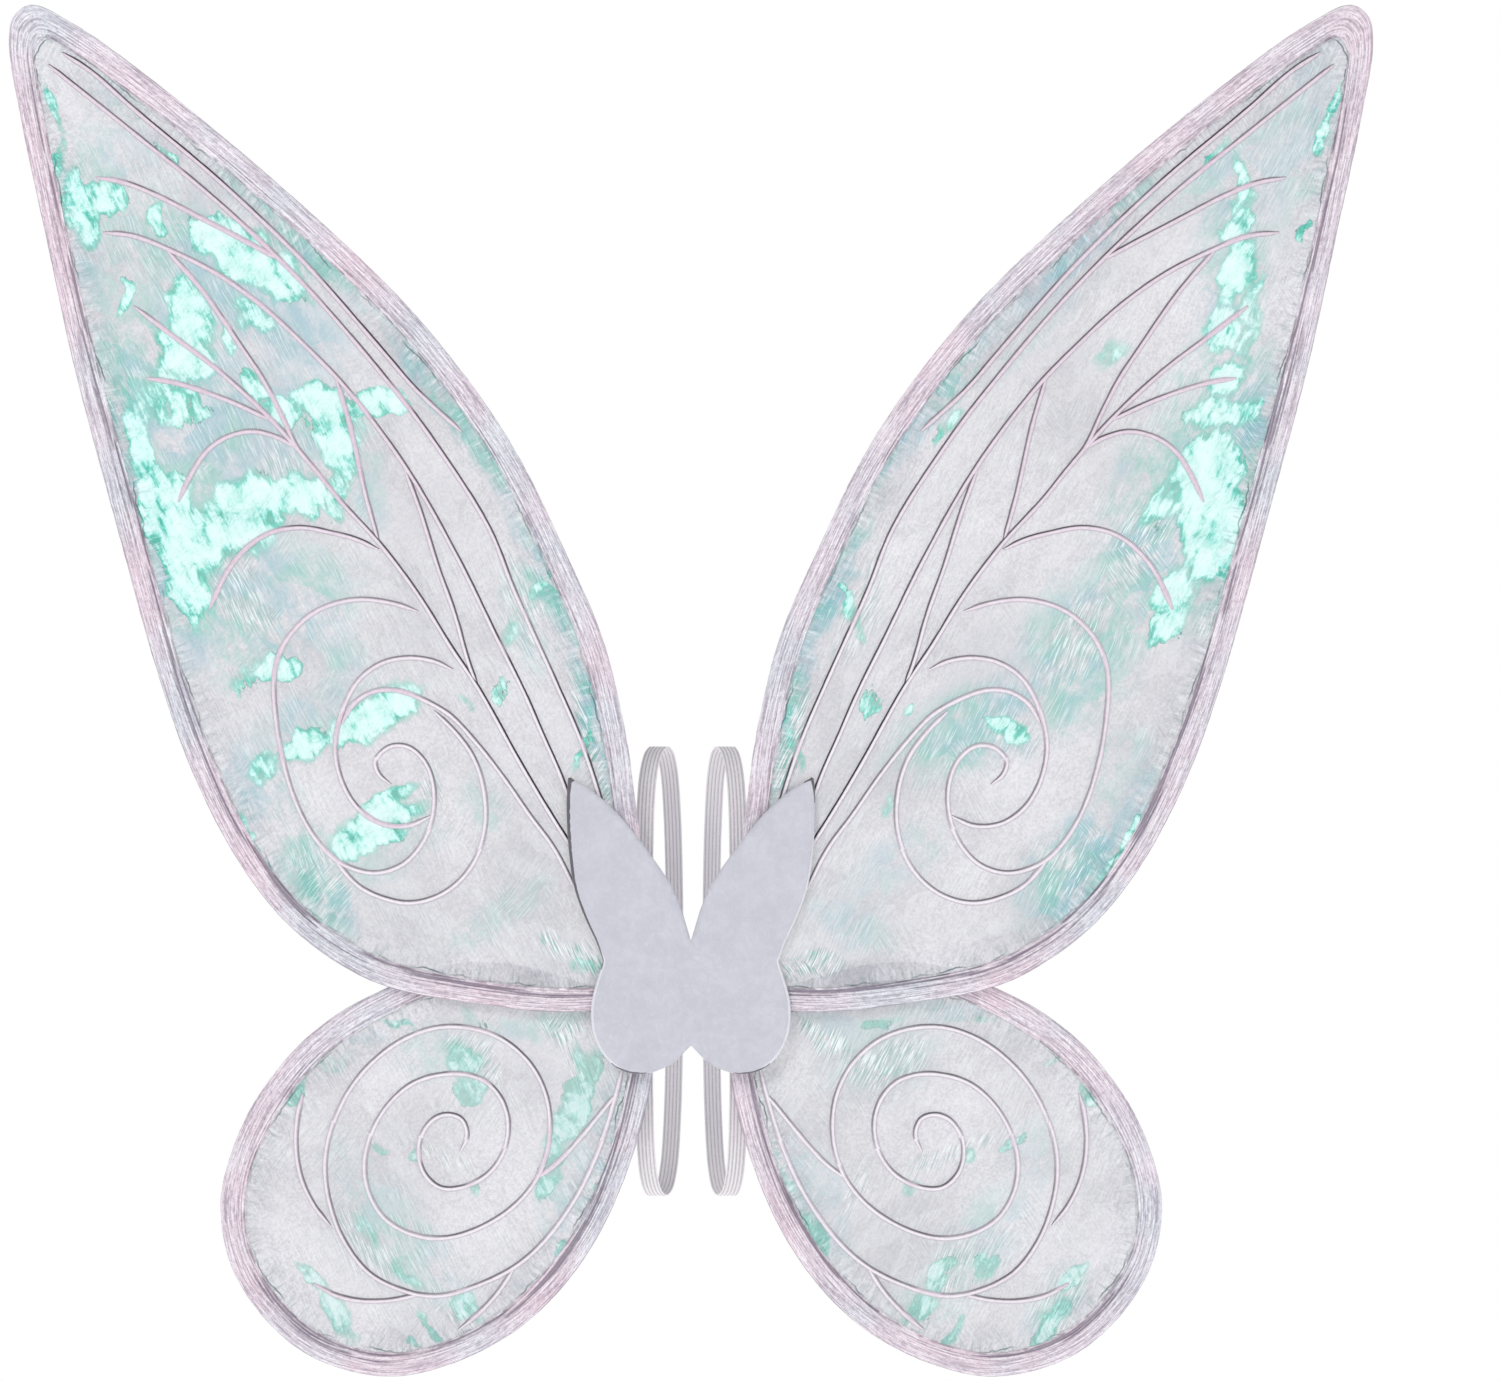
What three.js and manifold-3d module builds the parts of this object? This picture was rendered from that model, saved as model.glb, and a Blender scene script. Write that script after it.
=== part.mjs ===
// Costume fairy wings: two upper and two lower wire-edged film wings on a felt hub, worn on the back by two
// elastic arm loops. Millimetres. +X is the wearer's right, +Y points to the wearer, +Z is up. The origin is
// the centre of the small felt patch that lies against the wearer's back. Everything is built for the right
// side and mirrored.
import * as THREE from "three";
import { mergeVertices } from "three/addons/utils/BufferGeometryUtils.js";
import Module from "manifold-3d";

// ---------- driving dimensions ----------
const GAP = 0.3; // between pieces that touch
const PATCH = { halfWidth: 14, top: 20, bottom: -22, thick: 1.5 };
const PANEL_THICK = 3; // back felt
const LEAF_THICK = 1.2; // middle felt that carries the wire sleeves
const COVER_THICK = 2; // front felt
const WIRE_RADIUS = 1.25;
const CHANNEL_RADIUS = 1.6; // tunnel for the wire in a binding or sleeve
const SLEEVE_RADIUS = 2.2;
const SLEEVE_BORE_RADIUS = 1.7;
const SLEEVE_SPAN = [0.12, 0.82]; // where a sleeve starts and ends, as shares of the straight end of its wire
const WIRE_INSET = 3.2; // from a wing's outer edge to its wire
const BINDING_THICK = 4.2;
const FILM_THICK = 0.5;
const VEIN = { width: 2.6, thick: 1 };
const STRIP_HALF_WIDTH = 8.6; // front felt that stays on the hub
const LEAF = { inset: 1.2, innerX: 11.5 }; // a little smaller than the cover, outside its fold line at x 10
const SPINE = { halfWidth: 3, height: 48, z: -2 };
const STRAP = { width: 10.5, thick: 1.3, x: 27.5, lean: 0.236, endLength: 24 };

// ---------- layers, from the wearer outwards ----------
const PANEL_Y = -PATCH.thick - GAP;
const LOWER_Y = PANEL_Y - PANEL_THICK - GAP - BINDING_THICK / 2 - GAP;
const LEAF_Y = LOWER_Y - SLEEVE_RADIUS - GAP;
const UPPER_Y = LEAF_Y - LEAF_THICK - GAP - SLEEVE_RADIUS;
const COVER_Y = UPPER_Y - SLEEVE_RADIUS - 2 * GAP;
const STRAP_Y = -PATCH.thick + GAP / 2 + STRAP.thick / 2;

// ---------- outlines in X and Z ----------
// A wing's outer edge and the film's edge run from the leading root round the tip to the trailing root.
const UPPER_EDGE = [
  [25, 62], [31, 100], [38, 150], [51, 204], [71, 251], [106, 321], [158, 391], [230, 461], [314, 531],
  [362, 565], [385, 575], [395.5, 568], [398, 552], [391, 508], [376, 438], [361, 368], [336, 274],
  [310, 181], [290, 125], [264, 75], [237, 40], [205, 15], [176, 1.5], [125, -8], [85, -12.5], [44, -12],
];
const UPPER_FILM = [
  [39, 66], [44, 98], [51, 148], [64, 200], [83, 246], [117, 314], [168, 382], [239, 451], [322, 520],
  [360, 547], [377, 556], [383, 549], [382, 533], [378, 510], [364, 440], [348, 371], [323, 278], [297, 185],
  [277, 130], [253, 82], [228, 50], [198, 27], [172, 15], [123, 5], [85, 1], [48, 1],
];
const LOWER_EDGE = [
  [44, -1], [60, 3], [80, 9], [103, 14.5], [130, 16], [152, 12], [176, 2], [205, -13], [232, -35], [258, -70],
  [272, -105], [275.5, -130], [269, -162], [250, -192], [221, -215.5], [178, -226.5], [140, -219],
  [103, -200], [75, -174], [52, -140], [35, -100], [26, -68], [21, -36],
];
const LOWER_FILM = [
  [46, -15], [64, -10], [90, -3], [115, 2.5], [140, 1], [165, -8], [193, -23], [216, -40], [238, -66],
  [255, -97], [261.5, -126], [258, -152], [242, -180], [215, -203], [178, -213], [145, -207], [111, -189],
  [86, -166], [66, -138], [50, -103], [41, -72], [34, -40],
];
// The outline point at a wing's tip, where the two strips of its binding meet.
const UPPER_TIP = 11;
const LOWER_TIP = 11;
// Wire ends inside the hub, as [leading, trailing].
const UPPER_ROOTS = [[15, 12], [16, -3]];
const LOWER_ROOTS = [[16, -9], [16, -17]];
// The front felt of one side: ear, outer ear edge, lobe. Its inner edge is the fold line.
const EAR_INNER = [[10.3, 59.5], [17, 70], [31.5, 90], [44, 104.5], [57, 116], [71.5, 125]];
const EAR_OUTER = [[71.5, 125], [72.5, 108], [71, 80], [68, 60], [62, 43], [55, 28], [51, 17]];
const LOBE = [[51, 17], [55, 5], [58, -8], [57, -25], [50, -39], [38, -47.5], [24, -48], [10.3, -42.5]];
const STRIP_HALF = [[0, 29], [5, 46], [STRIP_HALF_WIDTH, 57], [STRIP_HALF_WIDTH, -41.7], [0, -32]];
const PANEL_HALF = [
  [0, 24], [12, 27], [26, 30], [36, 25], [40, 8], [40, -10], [36, -26], [26, -32], [12, -30], [0, -28],
];
const PAD = { x: 27, z: 3, width: 11.5, height: 30 }; // hook-and-loop closure

// ---------- veins in X and Z, cords bonded to the film's outer face ----------
const LEADING_RIB = [
  [367, 547], [350, 536], [325, 514], [275, 472], [225, 424], [180, 373], [160, 350], [134, 326],
];
const FRONT_RIB = [
  [[375, 540], [325, 500], [275, 459], [225, 411], [175, 353], [150, 320], [118, 270], [103, 233], [80, 182],
    [66, 150], [58, 128], [52, 108], [48, 92]],
  [[347, 474], [330, 471], [310, 463], [285, 450], [262, 438], [240, 426]],
];
const BRANCH_RIBS = [
  [[343, 442], [325, 440], [300, 430], [275, 417], [250, 399], [225, 376], [200, 350], [165, 303], [135, 250],
    [113, 205], [98, 175], [87, 150], [76, 125], [66, 97]],
  [[306, 432], [285, 408], [262, 375], [250, 357], [240, 338], [230, 317], [222, 307]],
  [[325, 399], [300, 380], [275, 361], [245, 333], [222, 307], [205, 286], [182, 261], [160, 232], [140, 200],
    [124, 176], [100, 133], [84, 106], [65, 76]],
  [[318, 357], [300, 354], [270, 344], [244, 332]],
  [[230, 316], [240, 322], [255, 326], [270, 323], [282, 315], [291, 302], [299, 285]],
  [[207, 357], [199, 330], [190, 290], [182, 261]],
  [[182, 257], [195, 263], [210, 267], [228, 270], [245, 267], [258, 259], [270, 245], [281, 222]],
  [[167, 304], [158, 280], [148, 248], [138, 220], [130, 192], [124, 176]],
];
const UPPER_SCROLL = [
  [[159, 221], [175, 226], [195, 228], [215, 223], [228, 214], [238, 201], [243, 185], [242, 158], [237, 130],
    [228, 104], [217, 86], [204, 74], [185, 68.5], [169, 73], [158, 84], [151, 100], [150, 118], [155, 133],
    [165, 142], [176, 142], [184, 134], [182, 126], [175, 120]],
  [[139, 187], [150, 192], [165, 194], [180, 191], [193, 182], [202, 167], [207, 149], [207, 135], [202, 118],
    [193, 105], [180, 97], [165, 96], [151, 102]],
  [[208, 76], [194, 61], [180, 54], [165, 51], [150, 54], [137, 62], [126, 76], [120, 96], [121, 118],
    [127, 136], [137, 150], [150, 163]],
  [[67, 58], [80, 83], [94, 102], [110, 125], [125, 144], [140, 160], [155, 169], [172, 175], [186, 174],
    [197, 167], [204, 155]],
];
const LOWER_SCROLL = [
  [[135, -95], [131, -85], [134, -76], [142, -73], [151, -76], [158, -86], [159, -99], [155, -109],
    [146, -116], [132, -115], [118, -107], [109, -93], [107, -77], [111, -64], [120, -54], [133, -49.5],
    [148, -50], [163, -55], [177, -67], [187, -84], [191, -103], [188, -120], [178, -135], [160, -144],
    [142, -145], [121, -138], [102, -125], [89, -108], [83, -88], [84, -65], [93, -45], [109, -30],
    [127, -23], [147, -22], [168, -29], [188, -44], [203, -64], [213, -92], [213, -117], [204, -145],
    [188, -166], [165, -177], [147, -179], [125, -173], [103, -162], [85, -146], [66, -119],
    [52, -88], [44, -62], [40, -46]],
  [[43, -60], [52, -71], [66, -88], [78, -101], [91, -111]],
  [[103, -162], [113, -177], [124, -189], [136, -199]],
  [[158, -178], [175, -181.5], [192, -182], [207, -179], [221, -172]],
];
const LOWER_ARC = [[227, -61], [230, -74], [231, -92], [228, -110], [220, -127], [211, -138]];

// The arm loop in Y and Z, from its top end down to its bottom end.
const STRAP_PATH = [
  [STRAP_Y, 31], [STRAP_Y, 60], [0.5, 85], [3, 108], [9, 126], [19, 137], [33, 141], [47, 137.5], [57, 125],
  [64, 100], [68.5, 60], [70, 8], [68.5, -44], [64, -84], [57, -109], [47, -121.5], [33, -125], [19, -121],
  [9, -110], [3, -92], [0.5, -69], [STRAP_Y, -50], [STRAP_Y, -33],
];

// ---------- materials ----------
function finish(color, roughness, metalness = 0) {
  return new THREE.MeshStandardMaterial({ color, roughness, metalness });
}
const FELT = finish(0xd5d3de, 0.95);
const BINDING = finish(0xe0cede, 0.7);
const FILM = finish(0xcfe6e4, 0.3);
const CORD = finish(0xd6bfd2, 0.6);
const STEEL = finish(0x9a9a9e, 0.35, 0.9);
const ELASTIC = finish(0xc6bdc2, 0.85);
const TAPE = finish(0xdedde4, 0.9);

// ---------- solids ----------
const wasm = await Module();
wasm.setup();

// A closed geometry as a manifold-3d solid, its shared vertices merged.
function solidOf(geometry) {
  const bare = geometry.index ? geometry.toNonIndexed() : geometry.clone();
  bare.deleteAttribute("normal");
  bare.deleteAttribute("uv");
  const merged = mergeVertices(bare, 1e-3);
  const vertProperties = merged.attributes.position.array;
  const triVerts = new Uint32Array(merged.index.array);
  return new wasm.Manifold(new wasm.Mesh({ numProp: 3, vertProperties, triVerts }));
}

function geometryOf(solid) {
  const mesh = solid.getMesh();
  const geometry = new THREE.BufferGeometry();
  geometry.setAttribute("position", new THREE.BufferAttribute(mesh.vertProperties, 3));
  geometry.setIndex(new THREE.BufferAttribute(mesh.triVerts, 1));
  return geometry;
}

const join = (geometries) => geometryOf(geometries.map(solidOf).reduce((whole, next) => whole.add(next)));
const cut = (geometry, tool) => geometryOf(solidOf(geometry).subtract(solidOf(tool)));

// ---------- outlines and sweeps ----------
const asVector = ([x, z]) => new THREE.Vector2(x, z);

// A smooth line through the points, with a number of steps for each stretch between two of them.
function smooth(points, steps = 2) {
  const places = points.map(([x, z]) => new THREE.Vector3(x, z, 0));
  const curve = new THREE.CatmullRomCurve3(places, false, "centripetal");
  return curve.getPoints((points.length - 1) * steps).map((p) => [p.x, p.y]);
}

// The line moved sideways, to its right for a positive distance.
function offset(points, distance) {
  return points.map(([x, z], i) => {
    const [x0, z0] = points[Math.max(i - 1, 0)];
    const [x1, z1] = points[Math.min(i + 1, points.length - 1)];
    const length = Math.hypot(x1 - x0, z1 - z0);
    return [x + (distance * (z1 - z0)) / length, z - (distance * (x1 - x0)) / length];
  });
}

// The point at a distance from the line's start, on its first stretch.
function along([[x0, z0], [x1, z1]], distance) {
  const share = distance / Math.hypot(x1 - x0, z1 - z0);
  return [x0 + (x1 - x0) * share, z0 + (z1 - z0) * share];
}

const mirroredHalf = (half) => [...half, ...half.filter(([x]) => x > 0).reverse().map(([x, z]) => [-x, z])];

// A flat piece of an outline in X and Z, from y towards -Y.
function plate(outline, y, thickness) {
  const shape = new THREE.Shape(outline.map(asVector));
  const geometry = new THREE.ExtrudeGeometry(shape, { depth: thickness, bevelEnabled: false });
  return geometry.rotateX(Math.PI / 2).translate(0, y, 0);
}

// A path in one XZ plane that a sweep follows point by point.
class PlanePath extends THREE.CatmullRomCurve3 {
  constructor(points, y) {
    super(points.map(([x, z]) => new THREE.Vector3(x, y, z)), false, "centripetal");
  }
  getPointAt(u, target) {
    return this.getPoint(u, target);
  }
  getTangentAt(u, target) {
    return this.getTangent(u, target);
  }
}

function sweep(section, points, y) {
  const extrudePath = new PlanePath(points, y);
  return new THREE.ExtrudeGeometry(section, { extrudePath, steps: points.length - 1, bevelEnabled: false });
}

function polygon(radius, sides) {
  const angle = (i) => (2 * Math.PI * i) / sides;
  const corner = (_, i) => [radius * Math.cos(angle(i)), radius * Math.sin(angle(i))];
  return Array.from({ length: sides }, corner);
}

const round = (radius, sides = 6) => new THREE.Shape(polygon(radius, sides).map(asVector));

// A cord of flat section on the outer face of the film that lies at y.
function vein(points, y) {
  const half = [VEIN.thick / 2, VEIN.width / 2];
  const corners = [[-half[0], -half[1]], [half[0], -half[1]], [half[0], half[1]], [-half[0], half[1]]];
  const faceY = y - FILM_THICK / 2 - GAP - VEIN.thick / 2;
  return sweep(new THREE.Shape(corners.map(asVector)), points, faceY);
}

// ---------- the pieces ----------
const group = new THREE.Group();

function add(parent, name, geometry, material) {
  const mesh = new THREE.Mesh(geometry, material);
  mesh.name = name;
  parent.add(mesh);
}

const wirePath = (edge, roots) => [roots[0], ...offset(smooth(edge), WIRE_INSET), roots[1]];

// A strip of gathered fabric between an outer line and an inner one, with a tunnel for the wire.
function binding(outer, inner, wire, y) {
  const band = plate([...outer, ...inner.reverse()], y + BINDING_THICK / 2, BINDING_THICK);
  return cut(band, sweep(round(CHANNEL_RADIUS), wire, y));
}

// One wing: spring wire, the fabric binding round it in two strips that meet at the wing's tip, and the film.
function addWing(parent, side, name, edge, film, tip, roots, y) {
  const wire = wirePath(edge, roots);
  const [outer, inner] = [smooth(edge), smooth(film, 1)];
  const [outerTip, innerTip] = [2 * tip, tip];
  const front = binding(outer.slice(0, outerTip + 1), inner.slice(0, innerTip + 1), wire, y);
  const rearOuter = outer.slice(outerTip);
  const rearInner = inner.slice(innerTip);
  rearOuter[0] = along(rearOuter, GAP);
  rearInner[0] = along(rearInner, GAP);
  add(parent, `${side}_${name}_wire`, sweep(round(WIRE_RADIUS), wire, y), STEEL);
  add(parent, `${side}_${name}_binding_front`, front, BINDING);
  add(parent, `${side}_${name}_binding_rear`, binding(rearOuter, rearInner, wire, y), BINDING);
  add(parent, `${side}_${name}_film`, plate(offset(inner, GAP), y + FILM_THICK / 2, FILM_THICK), FILM);
}

function addVeins(parent, side) {
  const joined = (lines, y) => join(lines.map((line) => vein(line, y)));
  add(parent, `${side}_upper_leading_rib`, vein(LEADING_RIB, UPPER_Y), CORD);
  add(parent, `${side}_upper_front_rib`, joined(FRONT_RIB, UPPER_Y), CORD);
  add(parent, `${side}_upper_branch_ribs`, joined(BRANCH_RIBS, UPPER_Y), CORD);
  add(parent, `${side}_upper_scroll`, joined(UPPER_SCROLL, UPPER_Y), CORD);
  add(parent, `${side}_lower_scroll`, joined(LOWER_SCROLL, LOWER_Y), CORD);
  add(parent, `${side}_lower_arc`, vein(LOWER_ARC, LOWER_Y), CORD);
}

// A short fabric tube sewn on the leaf, round the straight end of a wire.
function sleeve([fromX, fromZ], [toX, toZ], y) {
  const at = (t) => [fromX + (toX - fromX) * t, fromZ + (toZ - fromZ) * t];
  const section = round(SLEEVE_RADIUS, 8);
  section.holes.push(new THREE.Path(polygon(SLEEVE_BORE_RADIUS, 8).map(asVector)));
  return sweep(section, SLEEVE_SPAN.map(at), y);
}

function addSleeves(parent, side) {
  const upper = wirePath(UPPER_EDGE, UPPER_ROOTS);
  const lower = wirePath(LOWER_EDGE, LOWER_ROOTS);
  add(parent, `${side}_sleeve_upper_front`, sleeve(upper[0], upper[1], UPPER_Y), TAPE);
  add(parent, `${side}_sleeve_upper_rear`, sleeve(upper.at(-1), upper.at(-2), UPPER_Y), TAPE);
  add(parent, `${side}_sleeve_lower_front`, sleeve(lower[0], lower[1], LOWER_Y), TAPE);
  add(parent, `${side}_sleeve_lower_rear`, sleeve(lower.at(-1), lower.at(-2), LOWER_Y), TAPE);
}

const coverOutline = () => [...smooth(EAR_INNER), ...smooth(EAR_OUTER).slice(1), ...smooth(LOBE).slice(1)];

function pad(y, thickness) {
  const box = new THREE.BoxGeometry(PAD.width, thickness, PAD.height);
  return box.translate(PAD.x + PAD.width / 2, y - thickness / 2, PAD.z + PAD.height / 2);
}

function addHubSide(parent, side) {
  const padDepth = (LEAF_Y - LEAF_THICK - COVER_Y - 3 * GAP) / 2;
  const leaf = offset(coverOutline(), -LEAF.inset).map(([x, z]) => [Math.max(x, LEAF.innerX), z]);
  add(parent, `${side}_sleeve_leaf`, plate(leaf, LEAF_Y, LEAF_THICK), FELT);
  add(parent, `${side}_hook_pad`, pad(LEAF_Y - LEAF_THICK - GAP, padDepth), TAPE);
  add(parent, `${side}_loop_pad`, pad(COVER_Y + GAP + padDepth, padDepth), TAPE);
  add(parent, `${side}_cover`, plate(coverOutline(), COVER_Y, COVER_THICK), FELT);
}

// A ribbon bent along a line in Y and Z, as wide as the elastic, leaning inwards away from the wearer's back.
function strapLoop() {
  const line = smooth(STRAP_PATH);
  const outline = [...offset(line, STRAP.thick / 2), ...offset(line, -STRAP.thick / 2).reverse()];
  const shape = new THREE.Shape(outline.map(asVector));
  const ribbon = new THREE.ExtrudeGeometry(shape, { depth: STRAP.width, bevelEnabled: false });
  const [x, y, z] = [new THREE.Vector3(1, 0, 0), new THREE.Vector3(0, 1, 0), new THREE.Vector3(0, 0, 1)];
  ribbon.applyMatrix4(new THREE.Matrix4().makeBasis(y, z, x)).translate(STRAP.x - STRAP.width / 2, 0, 0);
  return ribbon.applyMatrix4(new THREE.Matrix4().makeShear(0, 0, -STRAP.lean, 0, 0, 0));
}

function strapEnd(edgeZ, towards) {
  const end = new THREE.BoxGeometry(STRAP.width, STRAP.thick, STRAP.endLength);
  return end.translate(STRAP.x, STRAP_Y, edgeZ + (towards * STRAP.endLength) / 2);
}

function addStrap(parent, side) {
  const [top, bottom] = [STRAP_PATH[0][1] - 2 * GAP, STRAP_PATH.at(-1)[1] + 2 * GAP];
  add(parent, `${side}_strap_loop`, strapLoop(), ELASTIC);
  add(parent, `${side}_strap_end_top`, strapEnd(top, -1), ELASTIC);
  add(parent, `${side}_strap_end_bottom`, strapEnd(bottom, 1), ELASTIC);
}

function addHubCentre(parent) {
  const patch = [
    [PATCH.halfWidth, PATCH.top], [-PATCH.halfWidth, PATCH.top],
    [-PATCH.halfWidth, PATCH.bottom], [PATCH.halfWidth, PATCH.bottom],
  ];
  const spineY = PANEL_Y - PANEL_THICK - GAP;
  const spineDepth = spineY - COVER_Y - GAP;
  const spine = new THREE.BoxGeometry(2 * SPINE.halfWidth, spineDepth, SPINE.height);
  add(parent, "back_patch", plate(patch, 0, PATCH.thick), FELT);
  add(parent, "back_panel", plate(mirroredHalf(PANEL_HALF), PANEL_Y, PANEL_THICK), FELT);
  add(parent, "spine_felt", spine.translate(0, spineY - spineDepth / 2, SPINE.z), FELT);
  add(parent, "cover_centre", plate(mirroredHalf(STRIP_HALF), COVER_Y, COVER_THICK), FELT);
}

function addSide(parent, side) {
  addHubSide(parent, side);
  addSleeves(parent, side);
  addWing(parent, side, "upper", UPPER_EDGE, UPPER_FILM, UPPER_TIP, UPPER_ROOTS, UPPER_Y);
  addWing(parent, side, "lower", LOWER_EDGE, LOWER_FILM, LOWER_TIP, LOWER_ROOTS, LOWER_Y);
  addVeins(parent, side);
  addStrap(parent, side);
}

addHubCentre(group);
const [right, left] = [new THREE.Group(), new THREE.Group()];
left.scale.x = -1;
addSide(right, "right");
addSide(left, "left");
group.add(right, left);

export default group;
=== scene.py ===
"""Costume fairy wings: the looks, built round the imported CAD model, in metres.

The frame has +X to the wearer's right, +Y towards the wearer and +Z up. Outlines are drawn for the right side
in millimetres, as in the CAD source, and turned into metres by mm(). A side's sign, +1 right and -1 left,
mirrors them.
"""

import math

import bpy
import numpy as np
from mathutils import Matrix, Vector
from mathutils.geometry import delaunay_2d_cdt


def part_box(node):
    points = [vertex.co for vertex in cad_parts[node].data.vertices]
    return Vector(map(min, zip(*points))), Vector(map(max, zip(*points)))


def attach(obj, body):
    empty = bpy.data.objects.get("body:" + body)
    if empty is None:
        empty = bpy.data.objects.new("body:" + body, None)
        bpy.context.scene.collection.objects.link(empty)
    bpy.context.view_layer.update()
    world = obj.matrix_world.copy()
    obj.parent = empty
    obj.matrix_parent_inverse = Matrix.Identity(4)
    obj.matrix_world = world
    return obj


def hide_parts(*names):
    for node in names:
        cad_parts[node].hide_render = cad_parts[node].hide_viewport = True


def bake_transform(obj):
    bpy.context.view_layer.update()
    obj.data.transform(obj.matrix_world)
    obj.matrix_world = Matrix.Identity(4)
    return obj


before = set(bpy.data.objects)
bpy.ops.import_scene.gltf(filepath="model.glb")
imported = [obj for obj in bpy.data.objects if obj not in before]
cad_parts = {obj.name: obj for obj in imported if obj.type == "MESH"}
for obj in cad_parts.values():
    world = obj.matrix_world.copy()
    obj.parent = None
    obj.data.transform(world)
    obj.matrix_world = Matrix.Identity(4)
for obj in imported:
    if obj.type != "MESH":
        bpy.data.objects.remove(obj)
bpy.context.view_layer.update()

SIDES = {"left": -1, "right": 1}


def mm(values):
    return np.array(values, float) * 0.001


# ---------- sizes, in metres ----------
WIRE_RADIUS = 0.00125
WIRE_INSET = 0.0032
BINDING_WIDTH = 0.0135  # about the mean, for the scale of its knit
VEIN_HALF_WIDTH = 0.00155
VEIN_HEIGHT = 0.00115
FELT_THICK = 0.002
FOLD_X = 0.010  # the fold lines of the front felt
PANEL_THICK = 0.003
LEAF_THICK = 0.0012
LEAF_INSET = 0.0012  # how far the leaf's edge lies inside the cover half's
LEAF_X = 0.0135  # where the leaf starts, just short of its web's outer edge
STRAP_WIDTH = 0.0105
STRAP_THICK = 0.0013
STRAP_X = 0.0275
STRAP_LEAN = 0.236  # metres towards the middle for each metre towards the wearer

# the spacing of the mesh's points along each kind of piece
FILM_PITCH = 0.0021
BINDING_PITCH = 0.0023
VEIN_PITCH = 0.0018
WIRE_PITCH = 0.004
STRAP_PITCH = 0.0022


# ---------- layers: the y of each plane, read from the CAD ----------
def middle_y(node):
    return sum(corner.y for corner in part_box(node)) / 2


UPPER_Y = middle_y("right_upper_film")
LOWER_Y = middle_y("right_lower_film")
COVER_Y = middle_y("right_cover")
LEAF_Y = middle_y("right_sleeve_leaf")
PANEL_Y = middle_y("back_panel")

# ---------- outlines and routes of the CAD source ----------
UPPER_EDGE = mm([
    [25, 62], [31, 100], [38, 150], [51, 204], [71, 251], [106, 321], [158, 391], [230, 461], [314, 531],
    [362, 565], [385, 575], [395.5, 568], [398, 552], [391, 508], [376, 438], [361, 368], [336, 274],
    [310, 181], [290, 125], [264, 75], [237, 40], [205, 15], [176, 1.5], [125, -8], [85, -12.5], [44, -12],
])
UPPER_FILM = mm([
    [39, 66], [44, 98], [51, 148], [64, 200], [83, 246], [117, 314], [168, 382], [239, 451], [322, 520],
    [360, 547], [377, 556], [383, 549], [382, 533], [378, 510], [364, 440], [348, 371], [323, 278], [297, 185],
    [277, 130], [253, 82], [228, 50], [198, 27], [172, 15], [123, 5], [85, 1], [48, 1],
])
LOWER_EDGE = mm([
    [44, -1], [60, 3], [80, 9], [103, 14.5], [130, 16], [152, 12], [176, 2], [205, -13], [232, -35], [258, -70],
    [272, -105], [275.5, -130], [269, -162], [250, -192], [221, -215.5], [178, -226.5], [140, -219],
    [103, -200], [75, -174], [52, -140], [35, -100], [26, -68], [21, -36],
])
LOWER_FILM = mm([
    [46, -15], [64, -10], [90, -3], [115, 2.5], [140, 1], [165, -8], [193, -23], [216, -40], [238, -66],
    [255, -97], [261.5, -126], [258, -152], [242, -180], [215, -203], [178, -213], [145, -207], [111, -189],
    [86, -166], [66, -138], [50, -103], [41, -72], [34, -40],
])
UPPER_ROOTS = mm([[15, 12], [16, -3]])
LOWER_ROOTS = mm([[16, -9], [16, -17]])
EAR_INNER = mm([[10, 59.2], [17, 70], [31.5, 90], [44, 104.5], [57, 116], [71.5, 125]])
EAR_OUTER = mm([[71.5, 125], [72.5, 108], [71, 80], [68, 60], [62, 43], [55, 28], [51, 17]])
LOBE = mm([[51, 17], [55, 5], [58, -8], [57, -25], [50, -39], [38, -47.5], [24, -48], [10, -42.4]])
STRIP = mm([[0, 29], [5, 46], [10, 59.2], [10, -42.4], [0, -32]])
WEB = mm([[2.5, 21], [13.6, 24], [13.6, -27], [2.5, -24]])
PANEL = mm([
    [0, 24], [12, 27], [26, 30], [36, 25], [40, 8], [40, -10], [36, -26], [26, -32], [12, -30], [0, -28],
])
LEADING_RIB = [mm([
    [367, 547], [350, 536], [325, 514], [275, 472], [225, 424], [180, 373], [160, 350], [134, 326],
])]
FRONT_RIB = [
    mm([[375, 540], [325, 500], [275, 459], [225, 411], [175, 353], [150, 320], [118, 270], [103, 233],
        [80, 182], [66, 150], [58, 128], [52, 108], [48, 92]]),
    mm([[347, 474], [330, 471], [310, 463], [285, 450], [262, 438], [240, 426]]),
]
BRANCH_RIBS = [
    mm([[343, 442], [325, 440], [300, 430], [275, 417], [250, 399], [225, 376], [200, 350], [165, 303],
        [135, 250], [113, 205], [98, 175], [87, 150], [76, 125], [66, 97]]),
    mm([[306, 432], [285, 408], [262, 375], [250, 357], [240, 338], [230, 317], [222, 307]]),
    mm([[325, 399], [300, 380], [275, 361], [245, 333], [222, 307], [205, 286], [182, 261], [160, 232],
        [140, 200], [124, 176], [100, 133], [84, 106], [65, 76]]),
    mm([[318, 357], [300, 354], [270, 344], [244, 332]]),
    mm([[230, 316], [240, 322], [255, 326], [270, 323], [282, 315], [291, 302], [299, 285]]),
    mm([[207, 357], [199, 330], [190, 290], [182, 261]]),
    mm([[182, 257], [195, 263], [210, 267], [228, 270], [245, 267], [258, 259], [270, 245], [281, 222]]),
    mm([[167, 304], [158, 280], [148, 248], [138, 220], [130, 192], [124, 176]]),
]
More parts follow.
